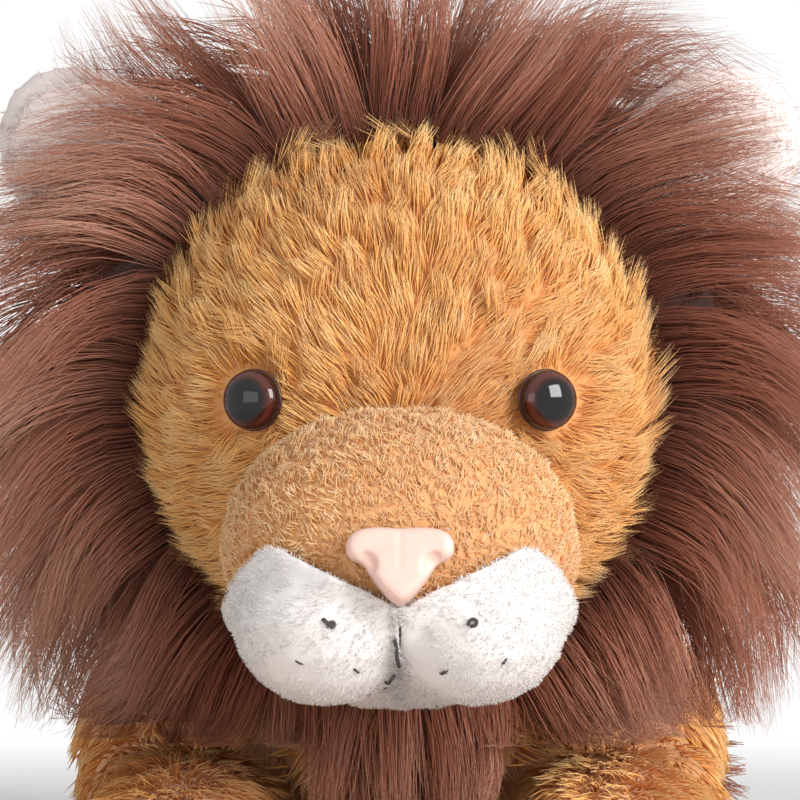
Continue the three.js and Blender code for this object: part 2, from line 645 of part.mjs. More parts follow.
const tailTube = stuffed(tailRun, tailOptions);
const tailBallSides = 12;
const tailBall = ballRoot(tailRoot, TAIL_ROOT_RADIUS, 2 * TAIL_ROOT_RADIUS, tailBallSides);
bodyCuts.push(ballRoom(tailRoot, TAIL_ROOT_RADIUS, 2 * TAIL_ROOT_RADIUS, tailBallSides));
const tailEnd = tailRun.at(-1).at;
const tuftAt = (share, bend, z, size) =>
  station(
    tailEnd.x + share * TUFT_LENGTH,
    tailEnd.y - bend * TUFT_BEND,
    z * TUFT_RADIUS,
    size * TUFT_RADIUS,
    size * TUFT_RADIUS,
  );
const tuftRun = [
  tuftAt(-0.15, 0, 0.62, 0.62),
  tuftAt(0.35, 0.15, 1.08, 1),
  tuftAt(0.7, 0.5, 1, 0.78),
  tuftAt(1, 1, 0.7, 0.3),
];
const tuft = stuffed(tuftRun, { fullness: 2.2, sides: 10, rings: 8 });
const tailAssembly = assembly(tailRoot);
addPiece(tailAssembly, 'tail', join(cut(tailTube, bodyRoom), tailBall), tanPile());
const tailRoom = stuffed(tailRun, { ...tailOptions, grow: SEAM_GAP });
addPiece(tailAssembly, 'tail_tuft', cut(tuft, tailRoom), maneHair());

// The body goes last, because every root ball leaves its pocket in it
addPiece(assembly(vector(0, 0, 0)), 'body', cut(bodyForm(), ...bodyCuts, floor), tanPile());

export default lion;
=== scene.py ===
# %% [markdown]
# # A soft toy lion, lying on its belly
# The real toy is a set of sewn covers, filled with fibre. The face, body and legs are cut from tan pile, the
# muzzle from a short tan pile, the lips from a white one, and the mane from a brown fur with hair 60 mm long.
# A moulded nose and two moulded eyes are pushed through the cover and locked from inside.
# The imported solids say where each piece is. This lesson dresses them: a skin for every cover, real strands for
# every pile, and moulded plastic for the nose and eyes. All sizes are in metres.

# %% Load the solids that everything is fitted to
import json
import math

import bmesh
import bpy
import numpy as np
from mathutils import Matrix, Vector
from mathutils.bvhtree import BVHTree
from mathutils.kdtree import KDTree


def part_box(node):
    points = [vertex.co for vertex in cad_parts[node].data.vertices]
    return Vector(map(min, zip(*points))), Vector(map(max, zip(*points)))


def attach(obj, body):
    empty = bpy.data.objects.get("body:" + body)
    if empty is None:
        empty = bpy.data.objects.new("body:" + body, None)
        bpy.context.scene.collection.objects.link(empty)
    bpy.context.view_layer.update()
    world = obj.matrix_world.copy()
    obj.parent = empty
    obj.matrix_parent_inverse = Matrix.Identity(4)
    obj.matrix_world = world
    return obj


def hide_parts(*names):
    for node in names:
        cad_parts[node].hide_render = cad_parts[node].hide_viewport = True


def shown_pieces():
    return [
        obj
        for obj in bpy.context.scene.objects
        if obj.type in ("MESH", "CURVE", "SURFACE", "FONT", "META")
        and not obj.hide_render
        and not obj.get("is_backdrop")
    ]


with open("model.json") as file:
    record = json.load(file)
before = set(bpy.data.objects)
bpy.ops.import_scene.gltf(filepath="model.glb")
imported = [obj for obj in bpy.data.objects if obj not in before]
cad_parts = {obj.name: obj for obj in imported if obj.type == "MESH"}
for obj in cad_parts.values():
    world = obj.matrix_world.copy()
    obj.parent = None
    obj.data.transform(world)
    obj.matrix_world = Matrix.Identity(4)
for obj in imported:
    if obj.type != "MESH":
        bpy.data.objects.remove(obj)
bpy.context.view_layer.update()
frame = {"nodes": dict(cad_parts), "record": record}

MM = 0.001
MERGE = 1e-6
SIDES = {"left": 1, "right": -1}
HEAD = Vector((0, -0.097, 0.114))
nodes = frame["nodes"]

# %% [markdown]
# ## Camera
# The photograph is a close, level view of the face through a long lens. A long lens keeps the muzzle from
# looking larger than the face behind it, so the distance matters as much as the angle.

# %% Camera at the photograph's view
FACE_Y = -0.141
CAMERA_DISTANCE = 0.9
PICTURE_WIDTH_AT_FACE = 0.1656
SENSOR = 36.0


def add_object(name, data):
    """Puts a mesh, lamp, camera or curve in the scene."""
    obj = bpy.data.objects.new(name, data)
    bpy.context.scene.collection.objects.link(obj)
    return obj


lens = bpy.data.cameras.new("camera")
lens.sensor_width = SENSOR
lens.lens = SENSOR * CAMERA_DISTANCE / PICTURE_WIDTH_AT_FACE
lens.clip_end = 20
camera = add_object("camera", lens)
camera.location = (0, FACE_Y - CAMERA_DISTANCE, HEAD.z)
camera.rotation_euler = (math.radians(90), 0, 0)
bpy.context.scene.camera = camera
bpy.context.scene.view_settings.view_transform = "Standard"
print("lens", round(lens.lens, 1))

# %% [markdown]
# ## Materials from sums
# A node tree is easier to read as sums. `Wire` wraps one socket, so that `wire * 2 + 1` adds two Math nodes.
# `Recipe` holds a tree and adds any other node with one call: its type, its settings, its inputs.


# %% Sums on sockets
class Wire:
    """One socket of a node tree. Sums with numbers or other wires add Math nodes."""

    def __init__(self, recipe, socket):
        self.recipe, self.socket = recipe, socket

    def sum(self, operation, other):
        return self.recipe.node("ShaderNodeMath", {"operation": operation}, {0: self, 1: other})

    def __add__(self, other):
        return self.sum("ADD", other)

    def __mul__(self, other):
        return self.sum("MULTIPLY", other)


class Recipe:
    """A tree under construction: that of a material, of the world, or a group of nodes."""

    def __init__(self, owner):
        self.owner = self.tree = owner
        if hasattr(owner, "use_nodes"):
            owner.use_nodes = True
            self.tree = owner.node_tree
            self.tree.nodes.clear()

    def node(self, kind, settings=None, inputs=None, out=0):
        made = self.tree.nodes.new(kind)
        for setting, value in (settings or {}).items():
            if setting == "stops":
                self.set_stops(made.color_ramp, value)
            else:
                setattr(made, setting, value)
        for name, value in (inputs or {}).items():
            if isinstance(value, Wire):
                self.tree.links.new(value.socket, made.inputs[name])
            else:
                made.inputs[name].default_value = value
        return Wire(self, made.outputs[out]) if made.outputs else None

    @staticmethod
    def set_stops(ramp, stops):
        while len(ramp.elements) < len(stops):
            ramp.elements.new(0.5)
        for element, (place, shade) in zip(ramp.elements, stops):
            element.position = place
            element.color = shade

    def ramp(self, factor, stops):
        return self.node("ShaderNodeValToRGB", {"stops": stops}, {0: factor})

    def between(self, factor, low, high):
        """The value that lies between two others, by a factor."""
        return self.node("ShaderNodeMapRange", None, {"Value": factor, "To Min": low, "To Max": high})

    def step(self, value, low, high):
        """Rises softly from 0 where the value is low to 1 where it is high."""
        inputs = {"Value": value, "From Min": low, "From Max": high}
        return self.node("ShaderNodeMapRange", {"interpolation_type": "SMOOTHSTEP"}, inputs)

    def place(self):
        return self.node("ShaderNodeTexCoord", out="Object")

    def noise(self, scale, detail=2.0):
        inputs = {"Vector": self.place(), "Scale": scale, "Detail": detail}
        return self.node("ShaderNodeTexNoise", None, inputs)

    def mix(self, factor, a, b):
        return self.node("ShaderNodeMix", {"data_type": "RGBA"}, {0: factor, 6: a, 7: b}, out=2)

    def on_map(self, name, axis):
        """How far across (0) or up (1) a map of the piece's own each point is."""
        both = self.node("ShaderNodeUVMap", {"uv_map": name})
        return self.node("ShaderNodeSeparateXYZ", None, {0: both}, axis)

    def rays(self, kind):
        return self.node("ShaderNodeLightPath", out=f"Is {kind} Ray")

    def bump(self, height, strength, distance):
        inputs = {"Strength": strength, "Distance": distance, "Height": height}
        return self.node("ShaderNodeBump", None, inputs)

    def show(self, shader, output="ShaderNodeOutputMaterial"):
        self.node(output, None, {"Surface": shader})
        return self.owner

    def finish(self, inputs):
        return self.show(self.node("ShaderNodeBsdfPrincipled", None, inputs))


def colour(red, green, blue):
    """A display colour of 0 to 255 as the linear one that a shader works in."""
    def linear(value):
        share = value / 255
        return share / 12.92 if share <= 0.04045 else ((share + 0.055) / 1.055) ** 2.4
    return (linear(red), linear(green), linear(blue), 1.0)


# %% [markdown]
# ## Floor and light
# A soft toy is lit for a shop picture by one large soft lamp from above the viewer's right, a weaker one from
# the left, and white paper all round. The paper is the world here, and the floor fades into it.

# %% Paper all round, and two lamps
WORLD_STRENGTH = 0.45
WHITE = (1, 1, 1, 1)

paper = Recipe(bpy.data.worlds.new("paper"))
seen = paper.node("ShaderNodeMath", {"operation": "ADD", "use_clamp": True},
                  {0: paper.rays("Camera"), 1: paper.rays("Transmission") + paper.rays("Glossy")})
background = paper.node("ShaderNodeBackground", None,
                        {"Color": WHITE, "Strength": paper.between(seen, WORLD_STRENGTH, 1.0)})
bpy.context.scene.world = paper.show(background, "ShaderNodeOutputWorld")


def lamp(name, place, size, watts):
    """A square soft lamp, aimed at the middle of the head."""
    data = bpy.data.lights.new(name, "AREA")
    data.size = size
    data.energy = watts
    obj = add_object(name, data)
    obj.location = place
    obj.rotation_euler = (HEAD - Vector(place)).to_track_quat("-Z", "Y").to_euler()


lamp("key", (1.1, -1.05, 0.64), 0.75, 25.5)
lamp("fill", (-0.7, -1.25, 0.12), 0.9, 4.0)


# %% Floor that fades into the paper
def floor_material():
    recipe = Recipe(bpy.data.materials.new("paper_floor"))
    radius = recipe.node("ShaderNodeVectorMath", {"operation": "LENGTH"}, {0: recipe.place()}, out="Value")
    far = recipe.step(radius, 0.22, 0.45)
    sent = recipe.rays("Camera") + recipe.rays("Glossy")
    sheet = recipe.node("ShaderNodeBsdfPrincipled", None,
                        {"Base Color": colour(248, 248, 247), "Roughness": 0.9})
    white = recipe.node("ShaderNodeEmission", None, {"Color": WHITE, "Strength": 1.0})
    return recipe.show(recipe.node("ShaderNodeMixShader", None, {0: far * sent, 1: sheet, 2: white}))


def mesh_from(shape, name):
    """Ends the work on a bmesh: its shape becomes a mesh."""
    mesh = bpy.data.meshes.new(name)
    shape.to_mesh(mesh)
    shape.free()
    return mesh


disc = bmesh.new()
bmesh.ops.create_circle(disc, cap_ends=True, radius=6.0, segments=64)
floor = add_object("floor", mesh_from(disc, "floor"))
floor.data.materials.append(floor_material())
floor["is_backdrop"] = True

# %% [markdown]
# ## Skins
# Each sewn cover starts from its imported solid. The solid is the outside of the pile, so the woven backing lies
# a little inside it. A voxel remesh makes one even skin of the loose faces, smoothing takes the facets off, and
# the skin is drawn in along its normals by the thickness that the lying pile has.


# %% Read and move a mesh's points
def applied(obj):
    """The object with its modifiers made real."""
    bpy.context.view_layer.update()
    evaluated = obj.evaluated_get(bpy.context.evaluated_depsgraph_get())
    mesh = bpy.data.meshes.new_from_object(evaluated)
    old = obj.data
    obj.modifiers.clear()
    obj.data = mesh
    bpy.data.meshes.remove(old)
    return obj


def vectors_of(rows, name):
    flat = np.empty(len(rows) * 3, np.float32)
    rows.foreach_get(name, flat)
    return flat.reshape(-1, 3).astype(float)


def points_of(mesh):
    return vectors_of(mesh.vertices, "co")


def normals_of(mesh):
    return vectors_of(mesh.vertex_normals, "vector")


def move_points(mesh, points):
    mesh.vertices.foreach_set("co", points.astype(np.float32).ravel())
    mesh.update()


# %% Make a skin of a solid
ABOVE_FLOOR = 0.0001


def shape_of(*names):
    """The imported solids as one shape, with their loose faces merged."""
    shape = bmesh.new()
    for name in names:
        shape.from_mesh(nodes[name].data)
    bmesh.ops.remove_doubles(shape, verts=shape.verts, dist=MERGE)
    return shape


def fill_in(shape, middle, half):
    """Puts an ellipsoid of filling where a socket or a seam would leave the skin open."""
    ball = bmesh.ops.create_icosphere(shape, subdivisions=3, radius=1)["verts"]
    bmesh.ops.scale(shape, vec=half, verts=ball)
    bmesh.ops.translate(shape, vec=middle, verts=ball)


def soften(obj, rounds):
    smooth = obj.modifiers.new("soften", "SMOOTH")
    smooth.factor = 0.5
    smooth.iterations = rounds
    applied(obj)


def skin(node, voxel, draw_in, smooth=12, filling=()):
    """An even, rounded skin for one cover, drawn in from its solid."""
    shape = shape_of(node)
    for middle, half in filling:
        fill_in(shape, middle, half)
    obj = add_object(f"{node}_cover", mesh_from(shape, f"{node}_cover"))
    remesh = obj.modifiers.new("even", "REMESH")
    remesh.mode = "VOXEL"
    remesh.voxel_size = voxel
    soften(obj, smooth)
    move_points(obj.data, points_of(obj.data) - normals_of(obj.data) * draw_in)
    soften(obj, 3)
    points = points_of(obj.data)
    points[:, 2] = np.maximum(points[:, 2], ABOVE_FLOOR)
    move_points(obj.data, points)
    obj.data.shade_smooth()
    return obj


# %% Dress a piece, and ask what is near it
def body_of(node):
    return next(name for name, members in frame["record"]["behaviour"]["bodies"].items() if node in members)


FINISHES = {}  # slot: the material of its pieces


def dress(obj, node, slot):
    """Gives a piece the slot's finish, and ties it to the body of the node that it stands for."""
    obj.data.materials.clear()
    obj.data.materials.append(FINISHES[slot])
    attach(obj, body_of(node))
    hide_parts(node)
    return obj


def surface_tree(*names):
    """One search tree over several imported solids, for asking what is near or inside."""
    whole = shape_of(*names)
    tree = BVHTree.FromBMesh(whole)
    whole.free()
    return tree


def depth_in(tree, points):
    """How deep each point lies inside the solids, negative outside."""
    depth = np.empty(len(points))
    for i, point in enumerate(points):
        place, normal, _, distance = tree.find_nearest(Vector(point))
        depth[i] = distance if (Vector(point) - place).dot(normal) < 0 else -distance
    return depth


# %% [markdown]
# ## Strands
# Fur on a toy is thousands of separate fibres, and its look comes from how they lie: which way they are combed,
# how they gather into tufts, and how they thin out to their tips. Each strand here is a line of a few points.
# It starts at a random place on a skin, and it belongs to the tuft or lock whose middle is nearest.


# %% Scatter strands and gather them in tufts
def unit(vectors):
    return vectors / np.maximum(np.linalg.norm(vectors, axis=-1, keepdims=True), 1e-12)


def scatter(mesh, count, seed):
    """Even random places on a mesh, with their normals."""
    rng = np.random.default_rng(seed)
    mesh.calc_loop_triangles()
    corners = np.empty(len(mesh.loop_triangles) * 3, np.int32)
    mesh.loop_triangles.foreach_get("vertices", corners)
    corners = corners.reshape(-1, 3)
    points, normals = points_of(mesh), normals_of(mesh)
    a, b, c = (points[corners[:, i]] for i in range(3))
    area = np.linalg.norm(np.cross(b - a, c - a), axis=1)
    chosen = rng.choice(len(corners), count, p=area / area.sum())
    share = rng.random((count, 2))
    over = share.sum(1) > 1
    share[over] = 1 - share[over]
    weights = np.column_stack([1 - share.sum(1), share])
    place = np.einsum("ij,ijk->ik", weights, points[corners[chosen]])
    facing = np.einsum("ij,ijk->ik", weights, normals[corners[chosen]])
    return place, unit(facing)


def keep_only(chosen, *arrays):
    return tuple(array[chosen] for array in arrays)


def thinned(points, gap):
    """The numbers of the points that are left when few may lie closer together than a gap."""
    taken = {}
    kept = []
    for i, point in enumerate(points):
        cell = tuple(np.floor(point / gap).astype(int))
        near = (taken.get((cell[0] + x, cell[1] + y, cell[2] + z))
                for x in (-1, 0, 1) for y in (-1, 0, 1) for z in (-1, 0, 1))
        if all(other is None or np.linalg.norm(point - other) > gap for other in near):
            taken[cell] = point
            kept.append(i)
    return np.array(kept, int)


def nearest(points, others):
    """For each point, the number of the nearest of the others."""
    tree = KDTree(len(others))
    for i, other in enumerate(others):
        tree.insert(other, i)
    tree.balance()
    return np.array([tree.find(point)[1] for point in points])


def gathered(place, gap):
    """The strands that stand in the middle of a lock, and the lock that each strand belongs to."""
    heads = thinned(place, gap)
    return heads, nearest(place, place[heads])


def varied(start, heads, lock, rng, by_lock, by_strand):
    """A value that differs from lock to lock, and a little from strand to strand."""
    return start + rng.normal(0, by_lock, len(heads))[lock] + rng.normal(0, by_strand, len(lock))


# %% [markdown]
# One Geometry Nodes tree turns all lines of a piece into three-sided tapering tubes with closed ends. It also
# writes a map on them: how far across the map says which strand it is, and how far up how near its tip. The
# three sides of a strand lie a little apart on the map, so that none of its faces is empty there.

# %% Turn lines into tubes
SIDE_APART = 0.004
STRAND_ABOVE_FLOOR = 0.0006


def tube_maker():
    """The Geometry Nodes tree that gives lines their thickness and their map."""
    group = bpy.data.node_groups.new("tubes", "GeometryNodeTree")
    for way in ("INPUT", "OUTPUT"):
        group.interface.new_socket("Geometry", in_out=way, socket_type="NodeSocketGeometry")
    recipe = Recipe(group)

    def read(name):
        return recipe.node("GeometryNodeInputNamedAttribute", {"data_type": "FLOAT"}, {"Name": name},
                           "Attribute")

    def store(geometry, name, value, kind, domain):
        return recipe.node("GeometryNodeStoreNamedAttribute", {"data_type": kind, "domain": domain},
                           {"Geometry": geometry, "Name": name, "Value": value})

    line = recipe.node("GeometryNodeMeshToCurve", None, {"Mesh": recipe.node("NodeGroupInput")})
    circle = recipe.node("GeometryNodeCurvePrimitiveCircle", None, {"Resolution": 3, "Radius": 1.0})
    section = store(circle, "side", recipe.node("GeometryNodeInputIndex"), "FLOAT", "POINT")
    tube = recipe.node("GeometryNodeCurveToMesh", None, {
        "Curve": line, "Profile Curve": section, "Scale": read("thick"), "Fill Caps": True})
    across = recipe.node("ShaderNodeMath", {"operation": "MULTIPLY_ADD"},
                         {0: read("side"), 1: SIDE_APART, 2: read("tint")})
    spot = recipe.node("ShaderNodeCombineXYZ", None, {"X": across, "Y": read("along")})
    recipe.node("NodeGroupOutput", None, {0: store(tube, "OFBake", spot, "FLOAT2", "CORNER")})
    return group


TUBES = tube_maker()
FIBRES = {}  # slot: the material of its strands


def grow(name, lines, thick, tint, slot, body="trunk", taper=(1.0, 0.95, 0.12)):
    """Makes one piece of closed tapering strands from their lines, and finishes it.
    lines has a row of points for each strand, and taper the thickness at its root, middle and tip."""
    count, steps = lines.shape[:2]
    lines[..., 2] = np.maximum(lines[..., 2], STRAND_ABOVE_FLOOR)
    along = np.linspace(0, 1, steps)
    mesh = bpy.data.meshes.new(name)
    mesh.vertices.add(count * steps)
    mesh.vertices.foreach_set("co", lines.astype(np.float32).ravel())
    first = np.arange(count)[:, None] * steps + np.arange(steps - 1)
    mesh.edges.add(count * (steps - 1))
    mesh.edges.foreach_set("vertices", np.stack([first, first + 1], -1).astype(np.int32).ravel())
    values = {"thick": thick * np.interp(along, (0, 0.5, 1), taper),
              "tint": np.clip(tint, 0.03, 0.97)[:, None], "along": along}
    for attribute, value in values.items():
        layer = mesh.attributes.new(attribute, "FLOAT", "POINT")
        layer.data.foreach_set("value", np.broadcast_to(value, (count, steps)).astype(np.float32).ravel())
    obj = add_object(name, mesh)
    obj.modifiers.new("tubes", "NODES").node_group = TUBES
    applied(obj)
    for attribute in (*values, "side"):
        layer = obj.data.attributes.get(attribute)
        if layer is not None:
            obj.data.attributes.remove(layer)
    obj.data.shade_smooth()
    obj.data.materials.append(FIBRES[slot])
    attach(obj, body)
    obj.data.calc_loop_triangles()
    print(name, count, "strands", len(obj.data.loop_triangles), "triangles")


# %% [markdown]
# A short pile leans along the way that it is combed. The strands of a tuft lean, rise and reach alike, and each
# bends over towards its tip, which is drawn to the tuft's middle.

# %% Lay a short pile
def along_skin(direction, facing):
    """A direction laid flat on the skin."""
    return unit(direction - facing * np.sum(direction * facing, 1, keepdims=True))


def raised(lean, facing, rise):
    """A direction turned up by an angle from the way that it leans."""
    return lean * np.cos(rise)[:, None] + facing * np.sin(rise)[:, None]


def pile(place, facing, comb, length, lift, rng, steps=3, tuft_gap=0.0026, gather=0.6, stray=0.35, bend=0.5):
    """Lines and tints for a short pile: strands lean along the comb, and those of a tuft lean together."""
    order = rng.permutation(len(place))
    heads = order[thinned(place[order], tuft_gap)]
    tuft = nearest(place, place[heads])
    flat = along_skin(comb, facing)
    lean = raised(flat, np.cross(facing, flat), varied(0, heads, tuft, rng, stray, stray * 0.35))
    rise = np.clip(varied(lift, heads, tuft, rng, 0.14, 0.06), 0.05, 1.5)
    reach = length * varied(1, heads, tuft, rng, 0.12, 0.07)
    start = raised(lean, facing, rise)
    end = raised(lean, facing, np.clip(rise - bend, 0.0, 1.5))
    off = place[heads][tuft] - place
    share = np.linspace(0, 1, steps)[None, :, None]
    heading = start[:, None, :] * share + (end - start)[:, None, :] * share ** 2 * 0.5
    lines = place[:, None, :] + heading * reach[:, None, None] + off[:, None, :] * gather * share ** 1.5
    return lines, varied(0.5, heads, tuft, rng, 0.13, 0.13)


# %% [markdown]
# ## Pile materials
# A pile's colour changes along each fibre: darker and warmer at the roots, painted shade for the depth between
# the tufts, and paler at the tips, partly their own colour and partly painted light where they catch the lamps,
# with a slightly different tint for each fibre. The backing under it has the colour of the roots, so it carries
# the same painted shade.


# %% Pile and backing finishes
def fibre_material(name, shades, roughness, sheen, specular):
    """Colour along the strand, from root to middle to tip, mixed with a paler one for the paler strands."""
    recipe = Recipe(bpy.data.materials.new(name))
    root, middle, tip, pale = (colour(*shade) for shade in shades)
    along = recipe.on_map("OFBake", 1)
    # The root colour is painted shade for the depth of the pile; the tip and pale tip are partly painted light.
    base = recipe.ramp(along, [(0.0, root), (0.5, middle), (1.0, tip)])
    light = recipe.ramp(along, [(0.0, root), (0.45, tip), (1.0, pale)])
    body = recipe.mix(recipe.step(recipe.on_map("OFBake", 0), 0.3, 0.95), base, light)
    return recipe.finish({"Base Color": body, "Roughness": roughness, "Sheen Weight": sheen,
                          "Sheen Roughness": 0.5, "Specular IOR Level": specular, "Specular Tint": tip})


def backing_material(name, dark, light, scale, depth):
    """The woven backing with the roots of the pile on it."""
    recipe = Recipe(bpy.data.materials.new(name))
    fine = recipe.noise(scale, 3.0)
    mixed = recipe.mix(fine * 0.7 + recipe.noise(scale * 0.12) * 0.3, colour(*dark), colour(*light))
    return recipe.finish({"Base Color": mixed, "Roughness": 0.9, "Normal": recipe.bump(fine, 0.8, depth),
                          "Sheen Weight": 0.2})


# The root shades below are painted shade for the depth of each pile, and the tip shades partly painted light.
PILES = {  # slot: a fibre's shades at its root, middle and tip and the palest tip, its roughness, sheen and
    # specular level, and its backing's dark and light shade, fineness and depth of relief
    "tan_pile": ([(230, 150, 74), (244, 180, 104), (248, 200, 132), (253, 222, 168)], 0.75, 0.15, 0.15,
                 (202, 138, 80), (224, 164, 104), 900.0, 0.0006),
    "short_tan_pile": ([(206, 128, 66), (236, 178, 112), (250, 212, 160), (254, 230, 194)], 0.8, 0.3, 0.15,
                       (204, 144, 90), (230, 178, 122), 900.0, 0.0006),
    "white_pile": ([(230, 224, 221), (236, 231, 228), (241, 237, 234), (247, 244, 242)], 0.8, 0.1, 0.3,
                   (226, 220, 217), (238, 233, 230), 900.0, 0.00012),
    # The mane's backing is darker than its hair's roots: painted shade for the depth of the mane.
    "mane_hair": ([(94, 52, 41), (164, 104, 83), (188, 131, 108), (224, 180, 156)], 0.42, 0.0, 0.5,
                  (62, 35, 28), (96, 58, 47), 500.0, 0.0006),
    "ear_velour": ([(232, 218, 213), (242, 230, 226), (247, 238, 234), (252, 246, 243)], 0.8, 0.2, 0.3,
                   (228, 214, 209), (240, 229, 225), 900.0, 0.0001),
}
for slot, looks in PILES.items():
    FIBRES[slot] = fibre_material(f"{slot}_fibre", *looks[:4])
    FINISHES[slot] = backing_material(f"{slot}_backing", *looks[4:])
print("piles:", list(PILES))

# %% [markdown]
# ## Head and muzzle
# The head is one round pillow with the muzzle, a second one of short pile, sewn to its front. Where the packed
# solids have sockets for the shanks of the nose and the eyes, a little filling closes the skin behind them.


# %% Skins of the head and muzzle
def cover(node, voxel, draw_in, slot, smooth=12, filling=()):
    """The skin of a stuffed cover, with its backing."""
    return dress(skin(node, voxel, draw_in, smooth, filling), node, slot)


def middle_of(node):
    low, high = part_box(node)
    return (low + high) / 2


eye_middles = [np.array(middle_of(f"eye_plate_{side}")) for side in SIDES]
behind_eyes = [((x * 0.9, y + 0.008, z), (0.009, 0.011, 0.009)) for x, y, z in eye_middles]
behind_nose = [((0, -0.132, 0.084), (0.034, 0.024, 0.028)), ((0, -0.168, 0.079), (0.012, 0.012, 0.010))]
head_skin = cover("head", 0.003, 0.0035, "tan_pile", filling=behind_eyes)
muzzle_skin = cover("muzzle", 0.0022, 0.0014, "short_tan_pile", filling=behind_nose)
print("head skin", len(head_skin.data.polygons), "muzzle skin", len(muzzle_skin.data.polygons))

# %% [markdown]
# The face's pile is combed outwards from the top of the muzzle, lies close about the muzzle and stands up
# towards the mane, most of all at the crown. The eyes press it aside, so it parts round them. It grows only
# where it can be seen: not behind the mane, and not under the muzzle.

# %% Face pile
FACE_STRANDS = 59000
FACE_PILE_END = -0.101
COMB_FROM = (0, 0, 0.104)
UNDER_EYE, BY_EYE = 0.0064, 0.0115
LEVEL = np.array([1, 0, 1])

muzzle_solid = surface_tree("muzzle", "lip_left", "lip_right")
rng = np.random.default_rng(11)
place, facing = scatter(head_skin.data, FACE_STRANDS, 12)
place, facing = keep_only(place[:, 1] < FACE_PILE_END, place, facing)
place, facing = keep_only(depth_in(muzzle_solid, place) <= 0.0005, place, facing)
for middle in eye_middles:
    clear = np.linalg.norm((place - middle)[:, [0, 2]], axis=1) > UNDER_EYE
    place, facing = keep_only(clear, place, facing)
from_muzzle = np.clip(-depth_in(muzzle_solid, place) / 0.012, 0, 1)
by_eye = np.min([np.linalg.norm(place - middle, axis=1) for middle in eye_middles], axis=0) < BY_EYE
wanted = (from_muzzle < 0.55) | by_eye | (rng.random(len(place)) < 0.76)
place, facing, from_muzzle = keep_only(wanted, place, facing, from_muzzle)
comb = unit((place - COMB_FROM) * LEVEL) + [0, -0.1, 0]
for middle in eye_middles:
    from_eye = (place - middle) * LEVEL
    near_eye = np.clip(1.5 - np.linalg.norm(from_eye, axis=1) / 0.0082, 0, 0.5)[:, None]
    comb = comb * (1 - 0.8 * near_eye) + unit(from_eye) * near_eye
rim = np.clip((place[:, 1] + 0.122) / 0.016, 0, 1)
crown = np.clip((place[:, 2] - HEAD.z - 0.02) / 0.03, 0, 1)
length = 0.0062 + 0.0024 * from_muzzle + (0.0010 + 0.0034 * crown) * rim
lines, tint = pile(place, facing, comb, length, 0.46 + 0.42 * rim, rng, tuft_gap=0.0036, gather=0.45,
                   stray=0.3)
upper = place[:, 2] > HEAD.z
for name, mine in (("head_pile_upper", upper), ("head_pile_lower", ~upper)):
    grow(name, lines[mine], 0.00012, tint[mine], "tan_pile")

# %% [markdown]
# ## Muzzle and lips
# The muzzle has a pile of 2 mm, too short to gather in tufts, so its strands stand up and lean every way. The
# lips are two pillows of a white pile that is shorter still, with a parting between them. Short strands take
# one segment each, which keeps thousands of them light.

# %% Muzzle pile
MUZZLE_STRANDS = 23000
MUZZLE_PILE_END = -0.112
NOSE_TIP = (0, -0.186, 0.0812)

rng = np.random.default_rng(21)
covers = surface_tree("lip_left", "lip_right", "nose")
place, facing = scatter(muzzle_skin.data, MUZZLE_STRANDS, 22)
place, facing = keep_only(place[:, 1] < MUZZLE_PILE_END, place, facing)
place, facing = keep_only(depth_in(covers, place) < -0.0004, place, facing)
comb = place - NOSE_TIP + [0, 0, 0.02] + rng.normal(0, 0.016, place.shape)
edge = np.clip((place[:, 1] + 0.137) / 0.02, 0, 1)
lines, tint = pile(place, facing, comb, 0.0022 + 0.0014 * edge, 0.62, rng, steps=2, tuft_gap=0.0017,
                   gather=0.25, stray=0.6, bend=0.3)
grow("muzzle_pile", lines, 0.00017, tint, "short_tan_pile", taper=(1.0, 0.9, 0.25))

# %% [markdown]
# The two lips are sewn against each other, so their skins close up towards the parting. Their fibres are very
# fine and upright. They are thickest beside the parting, where they hide the seam.

# %% Lip skins and their pile
PARTING_STRANDS, LIP_STRANDS = 46000, 14000
SEAM_CLOSED = 0.0009

rng = np.random.default_rng(31)
head_solid, nose_solid, dome_solid = (surface_tree(node) for node in ("head", "nose", "muzzle"))
lip_skins = []
for seed, side in enumerate(SIDES, 32):
    lip = skin(f"lip_{side}", 0.0009, 0.0)
    lip_skins.append(lip)
    points = points_of(lip.data)
    closing = SEAM_CLOSED * np.clip(1 - np.abs(points[:, 0]) / 0.005, 0, 1)
    points[:, 0] -= np.sign(points[:, 0]) * np.minimum(closing, np.abs(points[:, 0]) - 0.00002)
    move_points(lip.data, points)
    dress(lip, f"lip_{side}", "white_pile")
    place, facing = scatter(lip.data, PARTING_STRANDS, seed)
    dense = (np.abs(place[:, 0]) < 0.0022) | (np.arange(len(place)) < LIP_STRANDS)
    place, facing = keep_only(dense, place, facing)
    outside = (depth_in(dome_solid, place + facing * 0.0008) < 0) & (depth_in(head_solid, place) < -0.001)
    place, facing = keep_only(outside, place, facing)
    place, facing = keep_only(depth_in(nose_solid, place) < -0.0003, place, facing)
    comb = place - NOSE_TIP + [0, 0, 0.01] + rng.normal(0, 0.03, place.shape)
    beside_parting = np.clip(1.5 - np.abs(place[:, 0]) / 0.0016, 0, 1)
    comb[:, 0] -= np.sign(place[:, 0]) * beside_parting * 0.3
    lines, tint = pile(place, facing, comb, 0.0009 + 0.0008 * beside_parting, 1.05, rng, steps=2,
                       tuft_gap=0.0014, gather=0.2, stray=1.0, bend=0.2)
    grow(f"lip_pile_{side}", lines, 0.00009, tint, "white_pile", taper=(1.0, 0.9, 0.35))


# %% [markdown]
# ## Nose
# The nose is moulded in one piece of satin pink plastic: two round lobes, a nostril notch under each and a
# groove between them. A fine remesh and smoothing give its solid the soft edges of a moulding.

